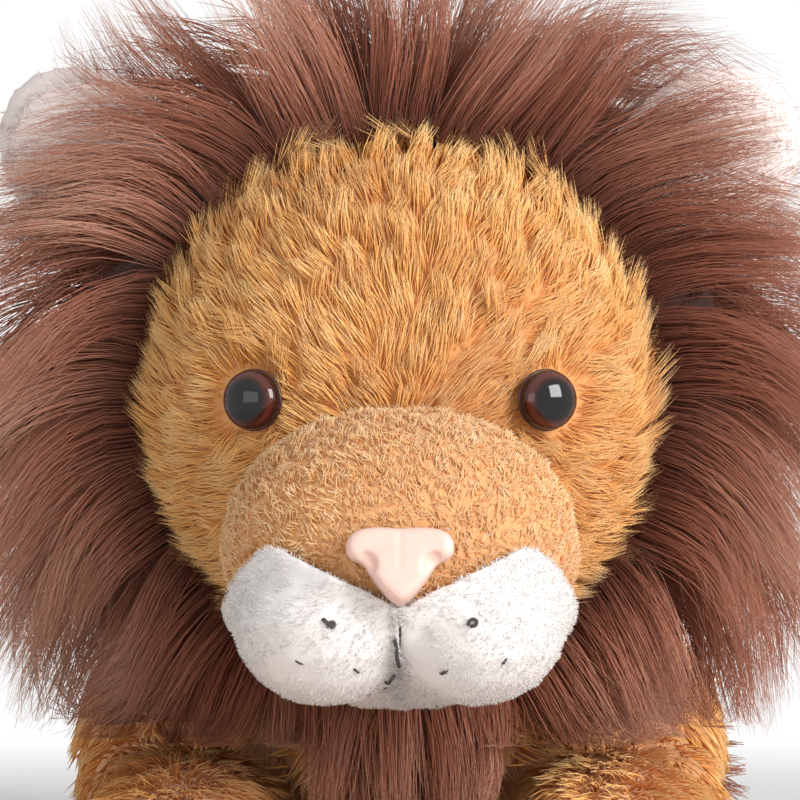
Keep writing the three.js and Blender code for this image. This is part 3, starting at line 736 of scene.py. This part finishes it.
# %% Nose
def plastic(name, base, warm, roughness, coat, grain):
    """Moulded plastic with slight unevenness in its gloss and colour."""
    recipe = Recipe(bpy.data.materials.new(name))
    cloud = recipe.noise(220.0)
    gloss = recipe.between(cloud, roughness * 0.85, roughness * 1.15)
    relief = recipe.bump(recipe.noise(2600.0), grain, 0.0002)
    return recipe.finish({"Base Color": recipe.mix(cloud, colour(*base), colour(*warm)), "Roughness": gloss,
                          "Normal": relief, "Coat Weight": coat, "Coat Roughness": 0.1})


FINISHES["pink_plastic"] = plastic("pink_plastic", (241, 206, 193), (236, 190, 175), 0.42, 0.12, 0.1)
dress(skin("nose", 0.00045, 0.0, smooth=6), "nose", "pink_plastic")


# %% [markdown]
# ## Eyes
# Each eye is a clear dome on a brown plate with a black pupil, spun from its profile, as a lathe would turn it.
# The dome would need two layers of clear plastic to see through, so the pupil and the brown ring are painted
# under a glossy coat on the dome itself, by how far each point is from the middle.

# %% Eye finishes
def eye_material(name, rings, scale, detail, clouded, dark):
    """Rings of colour by the distance from the middle of the disc map, under slight clouds. The results are
    the recipe, its paint and its clouds, from which the finish is made."""
    recipe = Recipe(bpy.data.materials.new(name))
    ring = recipe.ramp(recipe.on_map("disc", 0), [(place, colour(*shade)) for place, shade in rings])
    cloud = recipe.noise(scale, detail)
    return recipe, recipe.mix(cloud * clouded, ring, colour(*dark)), cloud


recipe, paint, cloud = eye_material("brown_plastic", [
    (0.0, (6, 5, 6)), (0.6, (10, 8, 9)), (0.68, (60, 26, 18)), (0.85, (112, 52, 34)), (1.0, (70, 30, 22)),
], 1500.0, 3.0, 0.4, (40, 18, 14))
FINISHES["brown_plastic"] = recipe.finish({"Base Color": paint, "Roughness": 0.3})
recipe, paint, cloud = eye_material("clear_plastic", [
    (0.0, (7, 9, 13)), (0.62, (11, 10, 13)), (0.7, (46, 20, 16)), (0.86, (98, 44, 32)), (0.95, (70, 30, 24)),
    (1.0, (44, 20, 17)),
], 700.0, 2.0, 0.35, (24, 12, 11))
FINISHES["clear_plastic"] = recipe.finish({
    "Base Color": paint, "Roughness": recipe.between(cloud, 0.05, 0.12), "Specular IOR Level": 0.0,
    "Coat Weight": 1.0, "Coat Roughness": 0.07, "Coat IOR": 1.46})

# %% Eye shapes
EYE_RADIUS, EYE_DOME, EYE_PLATE, EYE_EDGE = 0.0062, 0.0044, 0.0014, 0.0008
EYE_TURN = math.radians(24)
DOME_STEPS = 12


def spun(name, profile, at, direction, steps=48):
    """A solid turned from a profile of (radius, height) points, set with its axis along a direction, through a
    point. Its map's first value is the distance from its axis."""
    shape = bmesh.new()
    points = [shape.verts.new((radius, 0, height)) for radius, height in profile]
    edges = [shape.edges.new(pair) for pair in zip(points, points[1:])]
    bmesh.ops.spin(shape, geom=points + edges, cent=(0, 0, 0), axis=(0, 0, 1), angle=math.tau,
                   steps=steps, use_merge=True)
    bmesh.ops.remove_doubles(shape, verts=shape.verts, dist=MERGE)
    bmesh.ops.recalc_face_normals(shape, faces=shape.faces)
    mesh = mesh_from(shape, name)
    mesh.shade_smooth()
    turn = Vector((0, 0, 1)).rotation_difference(direction).to_matrix().to_4x4()
    turn.translation = at
    mesh.transform(turn)
    offset = points_of(mesh) - np.array(at)
    axis = np.array(direction)
    share = np.linalg.norm(offset - np.outer(offset @ axis, axis), axis=1) / EYE_RADIUS
    corner = np.empty(len(mesh.loops), np.int32)
    mesh.loops.foreach_get("vertex_index", corner)
    layer = mesh.uv_layers.new(name="disc")
    spots = np.column_stack([share[corner], np.zeros(len(corner))])
    layer.data.foreach_set("uv", spots.astype(np.float32).ravel())
    return add_object(name, mesh)


dome = [(0.0, 0.0), (EYE_RADIUS * 0.97, 0.0), (EYE_RADIUS, 0.0003), (EYE_RADIUS, EYE_EDGE)]
for angle in [step / DOME_STEPS * math.pi / 2 for step in range(1, DOME_STEPS)]:
    dome.append((EYE_RADIUS * math.cos(angle), EYE_EDGE + (EYE_DOME - EYE_EDGE) * math.sin(angle)))
dome.append((0.0, EYE_DOME))
plate = [(EYE_RADIUS * share, height) for share, height in (
    (0.0, -EYE_PLATE), (0.94, -EYE_PLATE), (1.03, -0.0009), (1.05, -0.0004), (1.02, -0.0001), (0.97, -0.0001),
    (0.0, -0.0001))]
for side, sign in SIDES.items():
    look = Vector((sign * math.sin(EYE_TURN), -math.cos(EYE_TURN), 0))
    base = middle_of(f"eye_cap_{side}") - look * (EYE_DOME / 2)
    dress(spun(f"eye_dome_{side}", dome, base, look), f"eye_cap_{side}", "clear_plastic")
    dress(spun(f"eye_disc_{side}", plate, base, look), f"eye_plate_{side}", "brown_plastic")
    print(side, "eye at", [round(v, 4) for v in base])

# %% [markdown]
# ## Mane
# The mane is sewn from panels of long-haired fur. Seen from in front it starts dark at the edge of the face and
# runs outwards like rays, gathered in locks that sag under their own weight. Behind the face it falls back and
# down over the neck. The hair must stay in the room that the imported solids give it, out of the ears and body.

# %% The room that the mane may fill
MANE_REACH = 0.1055
MANE_FRONT, MANE_END = -0.112, -0.017
mane_depth = np.interp([0, 0.03, 0.2, 0.4, 0.7, 0.94, 1.04], [0, 1], [MANE_FRONT, MANE_END + 0.001])
mane_radius = MANE_REACH * np.array([0.84, 0.9, 1.0, 1.04, 0.96, 0.62, 0.1])
AROUND = np.array([0, HEAD.y, HEAD.z])


def from_axis(points):
    """The way to each point from the level line through the head's middle, and how far off it is."""
    offset = points - AROUND
    return offset, np.hypot(offset[..., 0], offset[..., 2])


def held_in(points, slack=0.05):
    """Draws points that lie outside the mane's room softly back to its outside."""
    points = points.copy()
    front = MANE_FRONT + 0.003 - 0.045 * np.clip((0.072 - points[..., 2]) / 0.03, 0, 1)
    ahead = np.maximum(front - points[..., 1], 0)
    points[..., 1] = np.where(ahead > 0, front - 0.004 * np.tanh(ahead / 0.004), points[..., 1])
    offset, radius = from_axis(points)
    limit = np.interp(points[..., 1], mane_depth, mane_radius)
    over = np.maximum(radius / limit - 1, 0)
    new = np.where(over > 0, limit * (1 + slack * np.tanh(over / slack)), radius)
    scale = (new / np.maximum(radius, 1e-9))[..., None]
    return np.where(LEVEL > 0, AROUND + offset * scale, points)


def pushed_out(lines, gap, tree, box):
    """Moves the points that lie in a solid, or closer to it than a gap, to the gap outside it."""
    low, high = np.array(box[0]) - 0.01, np.array(box[1]) + 0.01
    flat = lines.reshape(-1, 3).copy()
    near = np.all((flat > low) & (flat < high), axis=1)
    for i in np.flatnonzero(near):
        place, normal, _, distance = tree.find_nearest(Vector(flat[i]))
        side = distance if (Vector(flat[i]) - place).dot(normal) > 0 else -distance
        if side < gap:
            flat[i] = place + normal * gap
    return flat.reshape(lines.shape)


lows, highs = zip(*(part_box(f"ear_{side}") for side in SIDES))
ears = (surface_tree("ear_left", "ear_right", "ear_lining_left", "ear_lining_right"),
        (np.min(lows, axis=0), np.max(highs, axis=0)))
trunk = (surface_tree("body"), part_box("body"))

# %% [markdown]
# A dense under-layer, much shorter than the hair, is the core of each panel, and closes it to the eye. It is
# the panel's solid, drawn in towards the head. Its backing is a darker brown than the hair's roots: painted
# shade for the depth of the mane over the underfur's own brown.

# %% Cores of the mane's panels
CORE_RADIUS, CORE_SHARE = 0.054, 0.42


def core(node):
    """A panel drawn in towards the head, for the dense under-layer of the fur."""
    obj = skin(node, 0.0042, 0.0, smooth=6)
    points = points_of(obj.data)
    offset, radius = from_axis(points)
    new = np.where(radius > CORE_RADIUS, CORE_RADIUS + (radius - CORE_RADIUS) * CORE_SHARE, radius)
    points[:, [0, 2]] = AROUND[[0, 2]] + offset[:, [0, 2]] * (new / np.maximum(radius, 1e-9))[:, None]
    points[:, 1] = np.interp(points[:, 1], [MANE_FRONT, -0.06, MANE_END], [-0.098, -0.060, -0.034])
    move_points(obj.data, points)
    return dress(obj, node, "mane_hair")


cores = {node: core(node) for node in ("mane_crown", "mane_left", "mane_right", "mane_bib", "mane_nape")}
print("cores:", {node: len(obj.data.polygons) for node, obj in cores.items()})

# %% [markdown]
# ## Locks
# Long hair gathers in locks. The locks come first, as one bent line each, and every strand then follows its
# lock, drawn in to its tip. Round the face a lock's line is bent step by step, as it would fall: down under its
# weight, round the ears and the body, and forward where it comes to lie on the legs.

# %% Lines for locks and for their strands
SAG = np.array([0, 0, -1.0])
COAT_POINTS = 4


def lock_lines(place, heading, length, sag, rng, wave=0.0016):
    """A bent line for each lock of the coat, the bib or the tuft. It leaves along its heading, sags, and waves
    a little."""
    count = len(place)
    share = np.linspace(0, 1, COAT_POINTS)[None, :, None]
    lines = place[:, None, :] + length[:, None, None] * (heading[:, None, :] * share + SAG * sag * share ** 2)
    across = unit(np.cross(heading, rng.normal(0, 1, (count, 3))))
    turns = rng.uniform(0.5, 1.1, count)[:, None, None]
    phase = rng.uniform(0, math.tau, count)[:, None, None]
    swing = np.sin(share * turns * math.tau + phase) - np.sin(phase)
    return lines + across[:, None, :] * swing * wave * rng.uniform(0.4, 1.6, count)[:, None, None]


def strands_of(lock, roots, guides, rng, reach, splay=0.0022, spread=0.6, gather=1.3):
    """Lines for single strands that follow their locks' lines and draw together towards the tips. Each reaches
    along its lock by its own share."""
    share = np.linspace(0, 1, guides.shape[1])[None, :, None]
    own = guides[lock]
    start = own[:, :1, :]
    lines = start + (own - start) * reach[:, None, None]
    lines = lines + (roots - start[:, 0])[:, None, :] * (1 + spread * share - gather * share ** 2)
    loose = unit(rng.normal(0, 1, (len(lock), 3)))[:, None, :]
    return lines + loose * splay * share ** 1.2 * rng.exponential(1.0, len(lock))[:, None, None]


def grow_hair(name, lines, thick, tint, body="trunk"):
    grow(name, lines, thick, tint, "mane_hair", body, taper=(0.9, 1.0, 0.25))


# %% How a lock falls
LOCK_POINTS = 6
BENDS = 3  # steps between two points of a lock
LEG_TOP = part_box("leg_front_left")[1].z
CHEST_HALF = 0.0195


def over_chest(place):
    return np.abs(place[:, 0]) < CHEST_HALF - 0.002


def above_legs(lines, rng):
    """Lays the strands that would hang into the front legs on top of them, with their tips drawn forward.
    Between the legs they hang nearly to the floor."""
    lines = lines.copy()
    between_legs = np.abs(lines[..., 0]) < CHEST_HALF + 0.001
    limit = np.where(between_legs, 0.011, LEG_TOP + 0.0022)
    under = np.clip(limit - lines[..., 2], 0, None)
    loose = rng.random((len(lines), 1))
    lines[..., 2] += under * (1 - 0.06 * loose)
    lines[..., 1] -= np.where(between_legs, 0.0, under * 0.55 * loose)
    return lines


def fallen(place, heading, length, weight, rng):
    """A line for each lock, as it falls, between the legs nearly to the floor. The second result is the share
    of its length at which each lock comes down."""
    parts = (LOCK_POINTS - 1) * BENDS
    hanging = over_chest(place)
    low = np.where(hanging, 0.004, LEG_TOP + 0.0014 + 0.002 * rng.random(len(place)) ** 2)
    part_length = length[:, None] / parts
    at, way, line = place, heading, [place]
    down = np.ones(len(place))
    for part in range(1, parts + 1):
        before = at
        way = unit(way + SAG * weight[:, None] / parts)
        at = before + way * part_length
        for solid in (ears, trunk):
            at = pushed_out(at, 0.0014, *solid)
        landed = at[:, 2] < low
        down = np.where(landed, np.minimum(down, part / parts), down)
        at[:, 2] = np.maximum(at[:, 2], low)
        between = hanging & (at[:, 2] < LEG_TOP)
        at[:, 0] = np.where(between, np.clip(at[:, 0], -CHEST_HALF, CHEST_HALF), at[:, 0])
        way = unit(at - before + np.array([0, -0.8, 0]) * part_length * landed[:, None])
        if part % BENDS == 0:
            line.append(at)
    return np.stack(line, axis=1), down


def fitting(guides):
    """For each lock, the share of its length at which its tip still lies in the mane's room."""
    fit = np.full(len(guides), 0.5)
    for share in np.arange(0.55, 1.06, 0.05):
        tip = guides[:, 0] + (guides[:, -1] - guides[:, 0]) * share
        radius = np.hypot(tip[:, 0], tip[:, 2] - AROUND[2])
        fit = np.where(radius <= np.interp(tip[:, 1], mane_depth, mane_radius), share, fit)
    return fit


# %% [markdown]
# ## Hair round the face
# The hair's roots stand in a ring round the face, close together under the chin, and further apart in front of
# the ears, which show through there. Locks that stand near each other belong to a family, and share the most
# part of what is random about them, so that the mane parts in broad strands as in the photograph.

# %% Roots and locks round the face
RING_STRANDS = 17500
LOCK_GAP, FAMILY_GAP = 0.0036, 0.011
RING_FRONT, RING_BACK, RING_DEPTH = -0.107, -0.083, 0.024
HEAD_WIDE, HEAD_HIGH, HEAD_DEEP = 0.0562, 0.0566, 0.058  # half of each
HAIR_LENGTH = 0.060


def face_ring(count, rng):
    """Places on the head round the face, with their angle about it."""
    angle = rng.uniform(0, math.tau, count * 3)
    hump = lambda middle, width: np.exp(-((angle - math.radians(middle)) / math.radians(width)) ** 2)
    wanted = 0.66 - 0.03 * hump(44, 12) - 0.04 * hump(136, 13) + 0.3 * hump(270, 45)
    angle = angle[rng.random(len(angle)) < wanted][:count]
    depth = rng.uniform(RING_FRONT, RING_BACK, len(angle))
    swell = np.sqrt(1 - np.clip((depth - HEAD.y) / HEAD_DEEP, -1, 1) ** 2)
    x = HEAD_WIDE * swell * np.cos(angle)
    z = HEAD.z + HEAD_HIGH * swell * np.sin(angle)
    return np.column_stack([x, depth, z]), angle


rng = np.random.default_rng(41)
ring_place, ring_angle = face_ring(RING_STRANDS, rng)
ring_place, ring_angle = keep_only(depth_in(trunk[0], ring_place) <= -0.001, ring_place, ring_angle)
heads, lock = gathered(ring_place, LOCK_GAP)
lock_place, lock_angle = ring_place[heads], ring_angle[heads]
family_heads, family = gathered(lock_place, FAMILY_GAP)


def drawn(by_family, by_lock):
    """A random value for each lock: one for its family and a smaller one of its own."""
    return varied(0, family_heads, family, rng, by_family, by_lock)


def wandering(angle, depth):
    """A slow turning of the hair's direction round the face, so that neighbouring locks run alike."""
    return (0.10 * np.sin(3 * angle + 0.7) + 0.07 * np.sin(7 * angle + 60 * depth + 2.0)
            + 0.05 * np.sin(12 * angle - 90 * depth + 4.0))


# %% How the locks run
above, under = np.clip(np.sin(lock_angle), 0, 1), np.clip(-np.sin(lock_angle), 0, 1)
swing = lock_angle + wandering(lock_angle, lock_place[:, 1]) + drawn(0.07, 0.05)
row = (lock_place[:, 1] - RING_FRONT) / RING_DEPTH
forward = -0.14 + 0.34 * row - (0.7 - 0.4 * row) * under + drawn(0.07, 0.04)
heading = unit(np.column_stack([np.cos(swing), forward, np.sin(swing)]))
weight = 1.0 + 0.3 * np.abs(np.cos(lock_angle)) - 0.55 * above + drawn(0.2, 0.08)
lock_length = HAIR_LENGTH * np.clip(1 + drawn(0.05, 0.06), 0.75, 1.2)
down = fallen(lock_place, heading, lock_length, weight, rng)[1]
kept = np.minimum(1, (down + 0.02 + 0.16 * rng.random(len(heads))) * (1 - 0.16 * rng.random(len(heads)) ** 2))
guides = fallen(lock_place, heading, lock_length * kept, weight * kept, rng)[0]
share = np.linspace(0, 1, LOCK_POINTS)[None, :, None]
sideways = np.column_stack([-np.sin(lock_angle), np.zeros(len(heads)), np.cos(lock_angle)])
curl = drawn(0.09, 0.03) * lock_length
guides = guides + sideways[:, None, :] * curl[:, None, None] * np.sin(share * math.pi * 0.9) * share
family_line = np.zeros((len(family_heads), LOCK_POINTS, 3))
np.add.at(family_line, family, guides)
family_line = family_line / np.bincount(family)[:, None, None]
guides = guides + (family_line[family] - guides) * 0.54 * share ** 1.3
print(len(heads), "locks in", len(family_heads), "families")

# %% Strands round the face
reach = fitting(guides)[lock] * np.clip(rng.normal(0.92, 0.11, len(lock)), 0.4, 1.08)
ring_lines = held_in(strands_of(lock, ring_place, guides, rng, reach, spread=0.9, gather=0.85))
on_legs = ~over_chest(ring_place)
ring_lines[on_legs, :, 2] = np.maximum(ring_lines[on_legs, :, 2], LEG_TOP + 0.0012)
ring_lines = pushed_out(ring_lines, 0.0008, *ears)
below_painted_light = np.clip(-np.sin(ring_angle), 0, 1)
# Strands under the face get a paler tint: partly the pale wisps that hang there, partly painted light that
# stands in for light from below.
ring_tint = 0.39 + 0.18 * below_painted_light + drawn(0.2, 0.09)[lock] + rng.normal(0, 0.13, len(lock))
quarter = ((ring_angle + math.pi / 4) % math.tau // (math.pi / 2)).astype(int)
for number, part in enumerate(("left", "crown", "right", "bib")):
    for half in (0, 1):
        some = np.flatnonzero(quarter == number)[half::2]
        grow_hair(f"mane_{part}_hair_{half + 1}", ring_lines[some], 0.000088, ring_tint[some])

# %% [markdown]
# ## Hair behind the face
# Behind the ring the hair is a coat that falls back and down over the neck, so its locks start on the cores.
# Under the chin a bib of shorter hair hangs between the legs.

# %% Coat of the mane behind the face
COAT_STRANDS = {"mane_crown": 1900, "mane_left": 2400, "mane_right": 2400, "mane_nape": 2600}
COAT_LENGTH = 0.046

rng = np.random.default_rng(51)
for seed, (node, count) in enumerate(COAT_STRANDS.items(), 60):
    place, facing = scatter(cores[node].data, count * 2, seed)
    outward = np.sum(facing * unit(place - AROUND), 1) > 0.35
    inside_others = (depth_in(trunk[0], place) > -0.0005) | (depth_in(head_solid, place) > 0)
    place, facing = keep_only(outward & (place[:, 1] > -0.086) & ~inside_others, place, facing)
    place, facing = place[:count], facing[:count]
    back = np.clip((place[:, 1] + 0.10) / 0.05, 0, 1)
    fall = unit(np.column_stack([place[:, 0] * 4, np.full(len(place), 0.25), -0.25 - 0.5 * back]))
    heads, lock = gathered(place, 0.0055)
    rise = np.clip(0.75 - 0.25 * back + rng.normal(0, 0.12, len(back)), 0.15, 1.2)[heads]
    heading = raised(along_skin(fall, facing)[heads], facing[heads], rise)
    heading = unit(heading + rng.normal(0, 0.12, (len(heads), 3)))
    length = COAT_LENGTH * np.clip(1 + rng.normal(0, 0.1, len(heads)), 0.7, 1.2)
    guides = held_in(lock_lines(place[heads], heading, length, 0.25, rng, wave=0.0014))
    lines = strands_of(lock, place, guides, rng, np.clip(rng.normal(0.92, 0.1, len(lock)), 0.45, 1.1))
    lines = above_legs(held_in(lines), rng)
    lines = pushed_out(pushed_out(lines, 0.002, *trunk), 0.0012, *ears)
    grow_hair(f"{node}_coat", lines, 0.00015, varied(0.42, heads, lock, rng, 0.15, 0.14))

# %% Hair of the bib between the legs
BIB_STRANDS, BIB_LENGTH, BIB_TOP = 2600, 0.034, 0.062

rng = np.random.default_rng(65)
place, facing = scatter(cores["mane_bib"].data, BIB_STRANDS, 66)
place, facing = keep_only((facing[:, 1] < -0.2) & (place[:, 2] < BIB_TOP), place, facing)
heads, lock = gathered(place, 0.0034)
heading = unit(np.column_stack([rng.normal(0, 0.16, len(heads)) + place[heads, 0] * 8,
                                -0.35 + rng.normal(0, 0.08, len(heads)), np.full(len(heads), -1.0)]))
guides = lock_lines(place[heads], heading, rng.normal(BIB_LENGTH, 0.004, len(heads)), 0.1, rng)
lines = strands_of(lock, place, guides, rng, np.clip(rng.normal(0.95, 0.1, len(lock)), 0.5, 1.1))
lines = above_legs(lines, rng)
grow_hair("mane_bib_front", lines, 0.00018, varied(0.52, heads, lock, rng, 0.15, 0.14))


# %% [markdown]
# ## Body and legs
# The rest of the toy has the same tan pile as the face. Each piece gets a skin and its own comb: along the back
# to the rump, down the legs to the paws, and along the tail to its tuft. The pile is left out where another
# piece lies against the cover, as it is pressed flat there on the real toy.

# %% Pile on a whole cover
def furnish(name, skin_obj, count, comb, length, thick, rise, seed, neighbours, body=None, slot="tan_pile",
            steps=3, tuft_gap=0.0034, gather=0.6, stray=0.35, reach=0.003, facing_y=(-2, 2)):
    """Grows a pile all over a skin, apart from where its neighbours press on it. The comb is one direction, or
    a function that gives one for each place."""
    rng = np.random.default_rng(seed)
    place, facing = scatter(skin_obj.data, count, seed + 1)
    free = depth_in(surface_tree(*neighbours), place + facing * reach) < -0.0004
    free &= place[:, 2] + facing[:, 2] * 0.004 > 0.0008
    free &= (facing[:, 1] > facing_y[0]) & (facing[:, 1] < facing_y[1])
    place, facing = keep_only(free, place, facing)
    ways = comb(place) if callable(comb) else np.array(comb)
    lines, tint = pile(place, facing, ways + 1e-6, length, rise, rng, steps, tuft_gap, gather, stray)
    grow(f"{name}_pile", lines, thick, tint, slot, body or body_of(name))


# %% Body and legs
PILE_DEPTH = 0.0032
legs = [f"leg_{row}_{side}" for row in ("front", "hind") for side in SIDES]
body_skin = cover("body", 0.0042, PILE_DEPTH, "tan_pile", smooth=10)
furnish("body", body_skin, 6400, lambda p: p * [4, 0, 0] + [0, 1, -0.25], 0.0092, 0.00034, 0.5, 71,
        legs + ["head", "mane_nape", "mane_left", "mane_right", "mane_bib", "tail"])
for seed, leg in zip(range(80, 92, 3), legs):
    count, thick, comb = (6700, 0.00022, [0, -0.6, -1]) if "front" in leg else (3250, 0.00031, [0, -0.35, -1])
    leg_skin = cover(leg, 0.0028, PILE_DEPTH, "tan_pile", smooth=8)
    furnish(leg, leg_skin, count, comb, 0.0084, thick, 0.5, seed, ["body", "mane_bib"], tuft_gap=0.0036,
            gather=0.4, stray=0.3)

# %% [markdown]
# ## Ears
# An ear is sewn from two pieces: tan pile behind, and a pale velour lining in front, which shows between the
# locks of the mane. The velour goes on round the ear's rim. Its fibres are so short that it looks smooth.

# %% Ears
VELOUR = {"slot": "ear_velour", "steps": 2, "tuft_gap": 0.0012, "gather": 0.15, "stray": 0.6, "reach": 0.0005}

for number, (side, sign) in enumerate(SIDES.items()):
    seed, back, lining = 100 + 4 * number, f"ear_{side}", f"ear_lining_{side}"
    ear_skin = cover(back, 0.0012, 0.0008, "tan_pile", smooth=16)
    ear_skin.data.materials.append(FINISHES["ear_velour"])
    for face in ear_skin.data.polygons:
        face.material_index = int(face.normal.y < 0.6)
    furnish(back, ear_skin, 3000, [sign * 0.2, 1.5, 0.1], 0.0042, 0.0002, 0.4, seed, [lining, "head"],
            tuft_gap=0.0026, facing_y=(0.72, 2))
    lining_skin = cover(lining, 0.0007, 0.0001, "ear_velour", smooth=18)
    out = [sign * 0.8, 0.0, 0.6]
    furnish(lining, lining_skin, 5400, out, 0.0014, 0.0001, 0.6, seed + 10, [back, "head"], **VELOUR)
    furnish(f"ear_rim_{side}", ear_skin, 4800, out, 0.0015, 0.0001, 0.6, seed + 20, [lining, "head"],
            body="trunk", facing_y=(-2, 0.74), **VELOUR)

# %% [markdown]
# ## Tail
# The tail is a thin stuffed tube with a tuft of the mane's hair at its end. It leaves the rump to the back and
# turns to one side, so its pile is combed by where each fibre stands.

# %% Tail and its tuft
TUFT_STRANDS, TUFT_LENGTH = 1600, 0.03

tail_skin = cover("tail", 0.0013, 0.0018, "tan_pile", smooth=8)
tuft_low, tuft_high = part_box("tail_tuft")


def towards_tuft(points):
    """Back from the rump, then round to the side where the tuft lies."""
    turn = np.clip(points[:, 0] / 0.03, 0, 1)
    return np.column_stack([0.3 + turn, 1.1 - turn * 1.2, np.full(len(points), -0.15)])


furnish("tail", tail_skin, 2900, towards_tuft, 0.0058, 0.00023, 0.45, 131, ["body", "tail_tuft"],
        tuft_gap=0.0026)

rng = np.random.default_rng(141)
tuft_skin = cover("tail_tuft", 0.0013, 0.0045, "mane_hair", smooth=6)
place, facing = scatter(tuft_skin.data, TUFT_STRANDS, 142)
heads, lock = gathered(place, 0.003)
share = np.clip((place[heads][:, 0] - tuft_low.x) / (tuft_high.x - tuft_low.x), 0, 1)
along_tuft = np.column_stack([np.ones(len(heads)), -0.1 - 0.2 * share, np.full(len(heads), -0.08)])
away = facing[heads] * (0.55 - 0.3 * share)[:, None]
heading = unit(along_tuft + away + rng.normal(0, 0.08, (len(heads), 3)))
length = TUFT_LENGTH - 0.014 * share + rng.normal(0, 0.002, len(heads))
guides = lock_lines(place[heads], heading, length, 0.12, rng, wave=0.0012)
reach = np.clip(rng.normal(0.95, 0.1, len(lock)), 0.5, 1.1)
lines = strands_of(lock, place, guides, rng, reach, splay=0.0014)
lines[..., 0] = np.minimum(lines[..., 0], tuft_high.x + 0.008)
grow_hair("tail_tuft_hair", lines, 0.00025, varied(0.42, heads, lock, rng, 0.15, 0.14), body_of("tail_tuft"))

# %% [markdown]
# ## Thread marks
# Short stitches of black thread mark the whisker dots and the mouth on the white lips. Each is a soft cord of a
# few twisted plies pulled into the pile, so a short bent tube with sunk ends gives it, laid on the lip where
# a level line from in front meets it.

# %% Where a stitch lies on the lips
PARTING = 0.002
lip_trees = [BVHTree.FromPolygons([point.co for point in lip.data.vertices],
                                  [tuple(face.vertices) for face in lip.data.polygons]) for lip in lip_skins]


def meet(tree, x, z):
    """The place and the normal where a level line from in front meets one lip."""
    return tree.ray_cast(Vector((x, -0.4, z)), Vector((0, 1, 0)))[:2]


def on_lip(x, z):
    """The point of the lips that a level line from in front meets, and the way out of it. Over the parting it
    is level with the nearer lip."""
    hits = [hit for hit in (meet(tree, x, z) for tree in lip_trees) if hit[0] is not None]
    if hits and abs(x) > PARTING:
        return min(hits, key=lambda hit: hit[0].y)
    front = min(meet(tree, side * 2 * PARTING, z)[0].y for tree, side in zip(lip_trees, SIDES.values()))
    return Vector((x, front + 0.0003, z)), Vector((0, -1, 0))


# %% Whisker dots and mouth stitches
STITCHES = {  # name: radius, how far it stands out, and points across and above the head's middle, in mm
    "whisker_left_upper": (0.36, 0.25, [(13.5, -44.0), (13.9, -43.3), (14.9, -43.3), (14.9, -44.2),
                                        (14.2, -44.4)]),
    "whisker_right_upper": (0.42, 0.3, [(-14.9, -43.3), (-14.2, -43.9), (-13.2, -44.5), (-13.3, -43.7),
                                        (-14.0, -44.3)]),
    "whisker_left_lower": (0.32, 0.05, [(8.1, -54.0), (9.3, -53.4)]),
    "whisker_right_lower": (0.24, -0.1, [(-9.1, -53.1), (-8.1, -53.9)]),
    "whisker_left_outer": (0.26, -0.05, [(20.2, -52.0), (20.9, -51.1)]),
    "whisker_right_outer": (0.22, -0.15, [(-20.6, -51.4), (-19.2, -52.1)]),
    "mouth_upper": (0.42, 0.5, [(-1.0, -47.4), (-0.7, -49.0), (-0.6, -50.8), (-0.2, -52.6)]),
    "mouth_lower": (0.34, 0.4, [(-1.3, -55.0), (-2.9, -56.0)]),
    "mouth_end": (0.2, 0.1, [(-2.8, -57.6), (-4.8, -58.0), (-7.0, -58.9)]),
}
plies = Recipe(bpy.data.materials.new("black_thread"))
twist = plies.noise(3500.0)
thread = plies.finish({"Base Color": plies.mix(twist, colour(30, 27, 28), colour(84, 78, 78)),
                       "Roughness": 0.7, "Normal": plies.bump(twist, 0.5, 0.0001)})


def stitch(name, radius, proud, marks):
    """A cord laid on the lips through its marks, with both ends sunk into them."""
    data = bpy.data.curves.new(name, "CURVE")
    data.dimensions = "3D"
    data.bevel_depth = radius * MM
    data.bevel_resolution = 3
    data.resolution_u = 6
    data.use_fill_caps = True
    found = [on_lip(x * MM, HEAD.z + z * MM) for x, z in marks]
    first, last = (at - out * MM for at, out in (found[0], found[-1]))
    places = [first] + [at + out * proud * MM for at, out in found] + [last]
    line = data.splines.new("BEZIER")
    line.bezier_points.add(len(places) - 1)
    for point, at in zip(line.bezier_points, places):
        point.co = at
        point.handle_left_type = point.handle_right_type = "AUTO"
    obj = add_object(name, data)
    bpy.context.view_layer.update()
    mesh = bpy.data.meshes.new_from_object(obj.evaluated_get(bpy.context.evaluated_depsgraph_get()))
    bpy.data.objects.remove(obj)
    mesh.materials.clear()
    mesh.materials.append(thread)
    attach(add_object(name, mesh), "trunk")


for name, (radius, proud, marks) in STITCHES.items():
    stitch(name, radius, proud, marks)
print(len(STITCHES), "stitches")

# %% [markdown]
# ## Locking washers
# The washers that hold the nose and the eyes sit inside the covers and never show. They keep their solids, with
# a plain moulded finish.

# %% Washers
washer_plastic = plastic("washer_plastic", (232, 232, 229), (220, 220, 216), 0.55, 0.0, 0.2)
for node in ("nose_washer", "eye_washer_left", "eye_washer_right"):
    nodes[node].data.materials.clear()
    nodes[node].data.materials.append(washer_plastic)

# %% Write the sizes and finish
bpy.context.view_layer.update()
total = 0
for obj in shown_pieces():
    obj.data.calc_loop_triangles()
    total += len(obj.data.loop_triangles)
print("triangles in all", total)
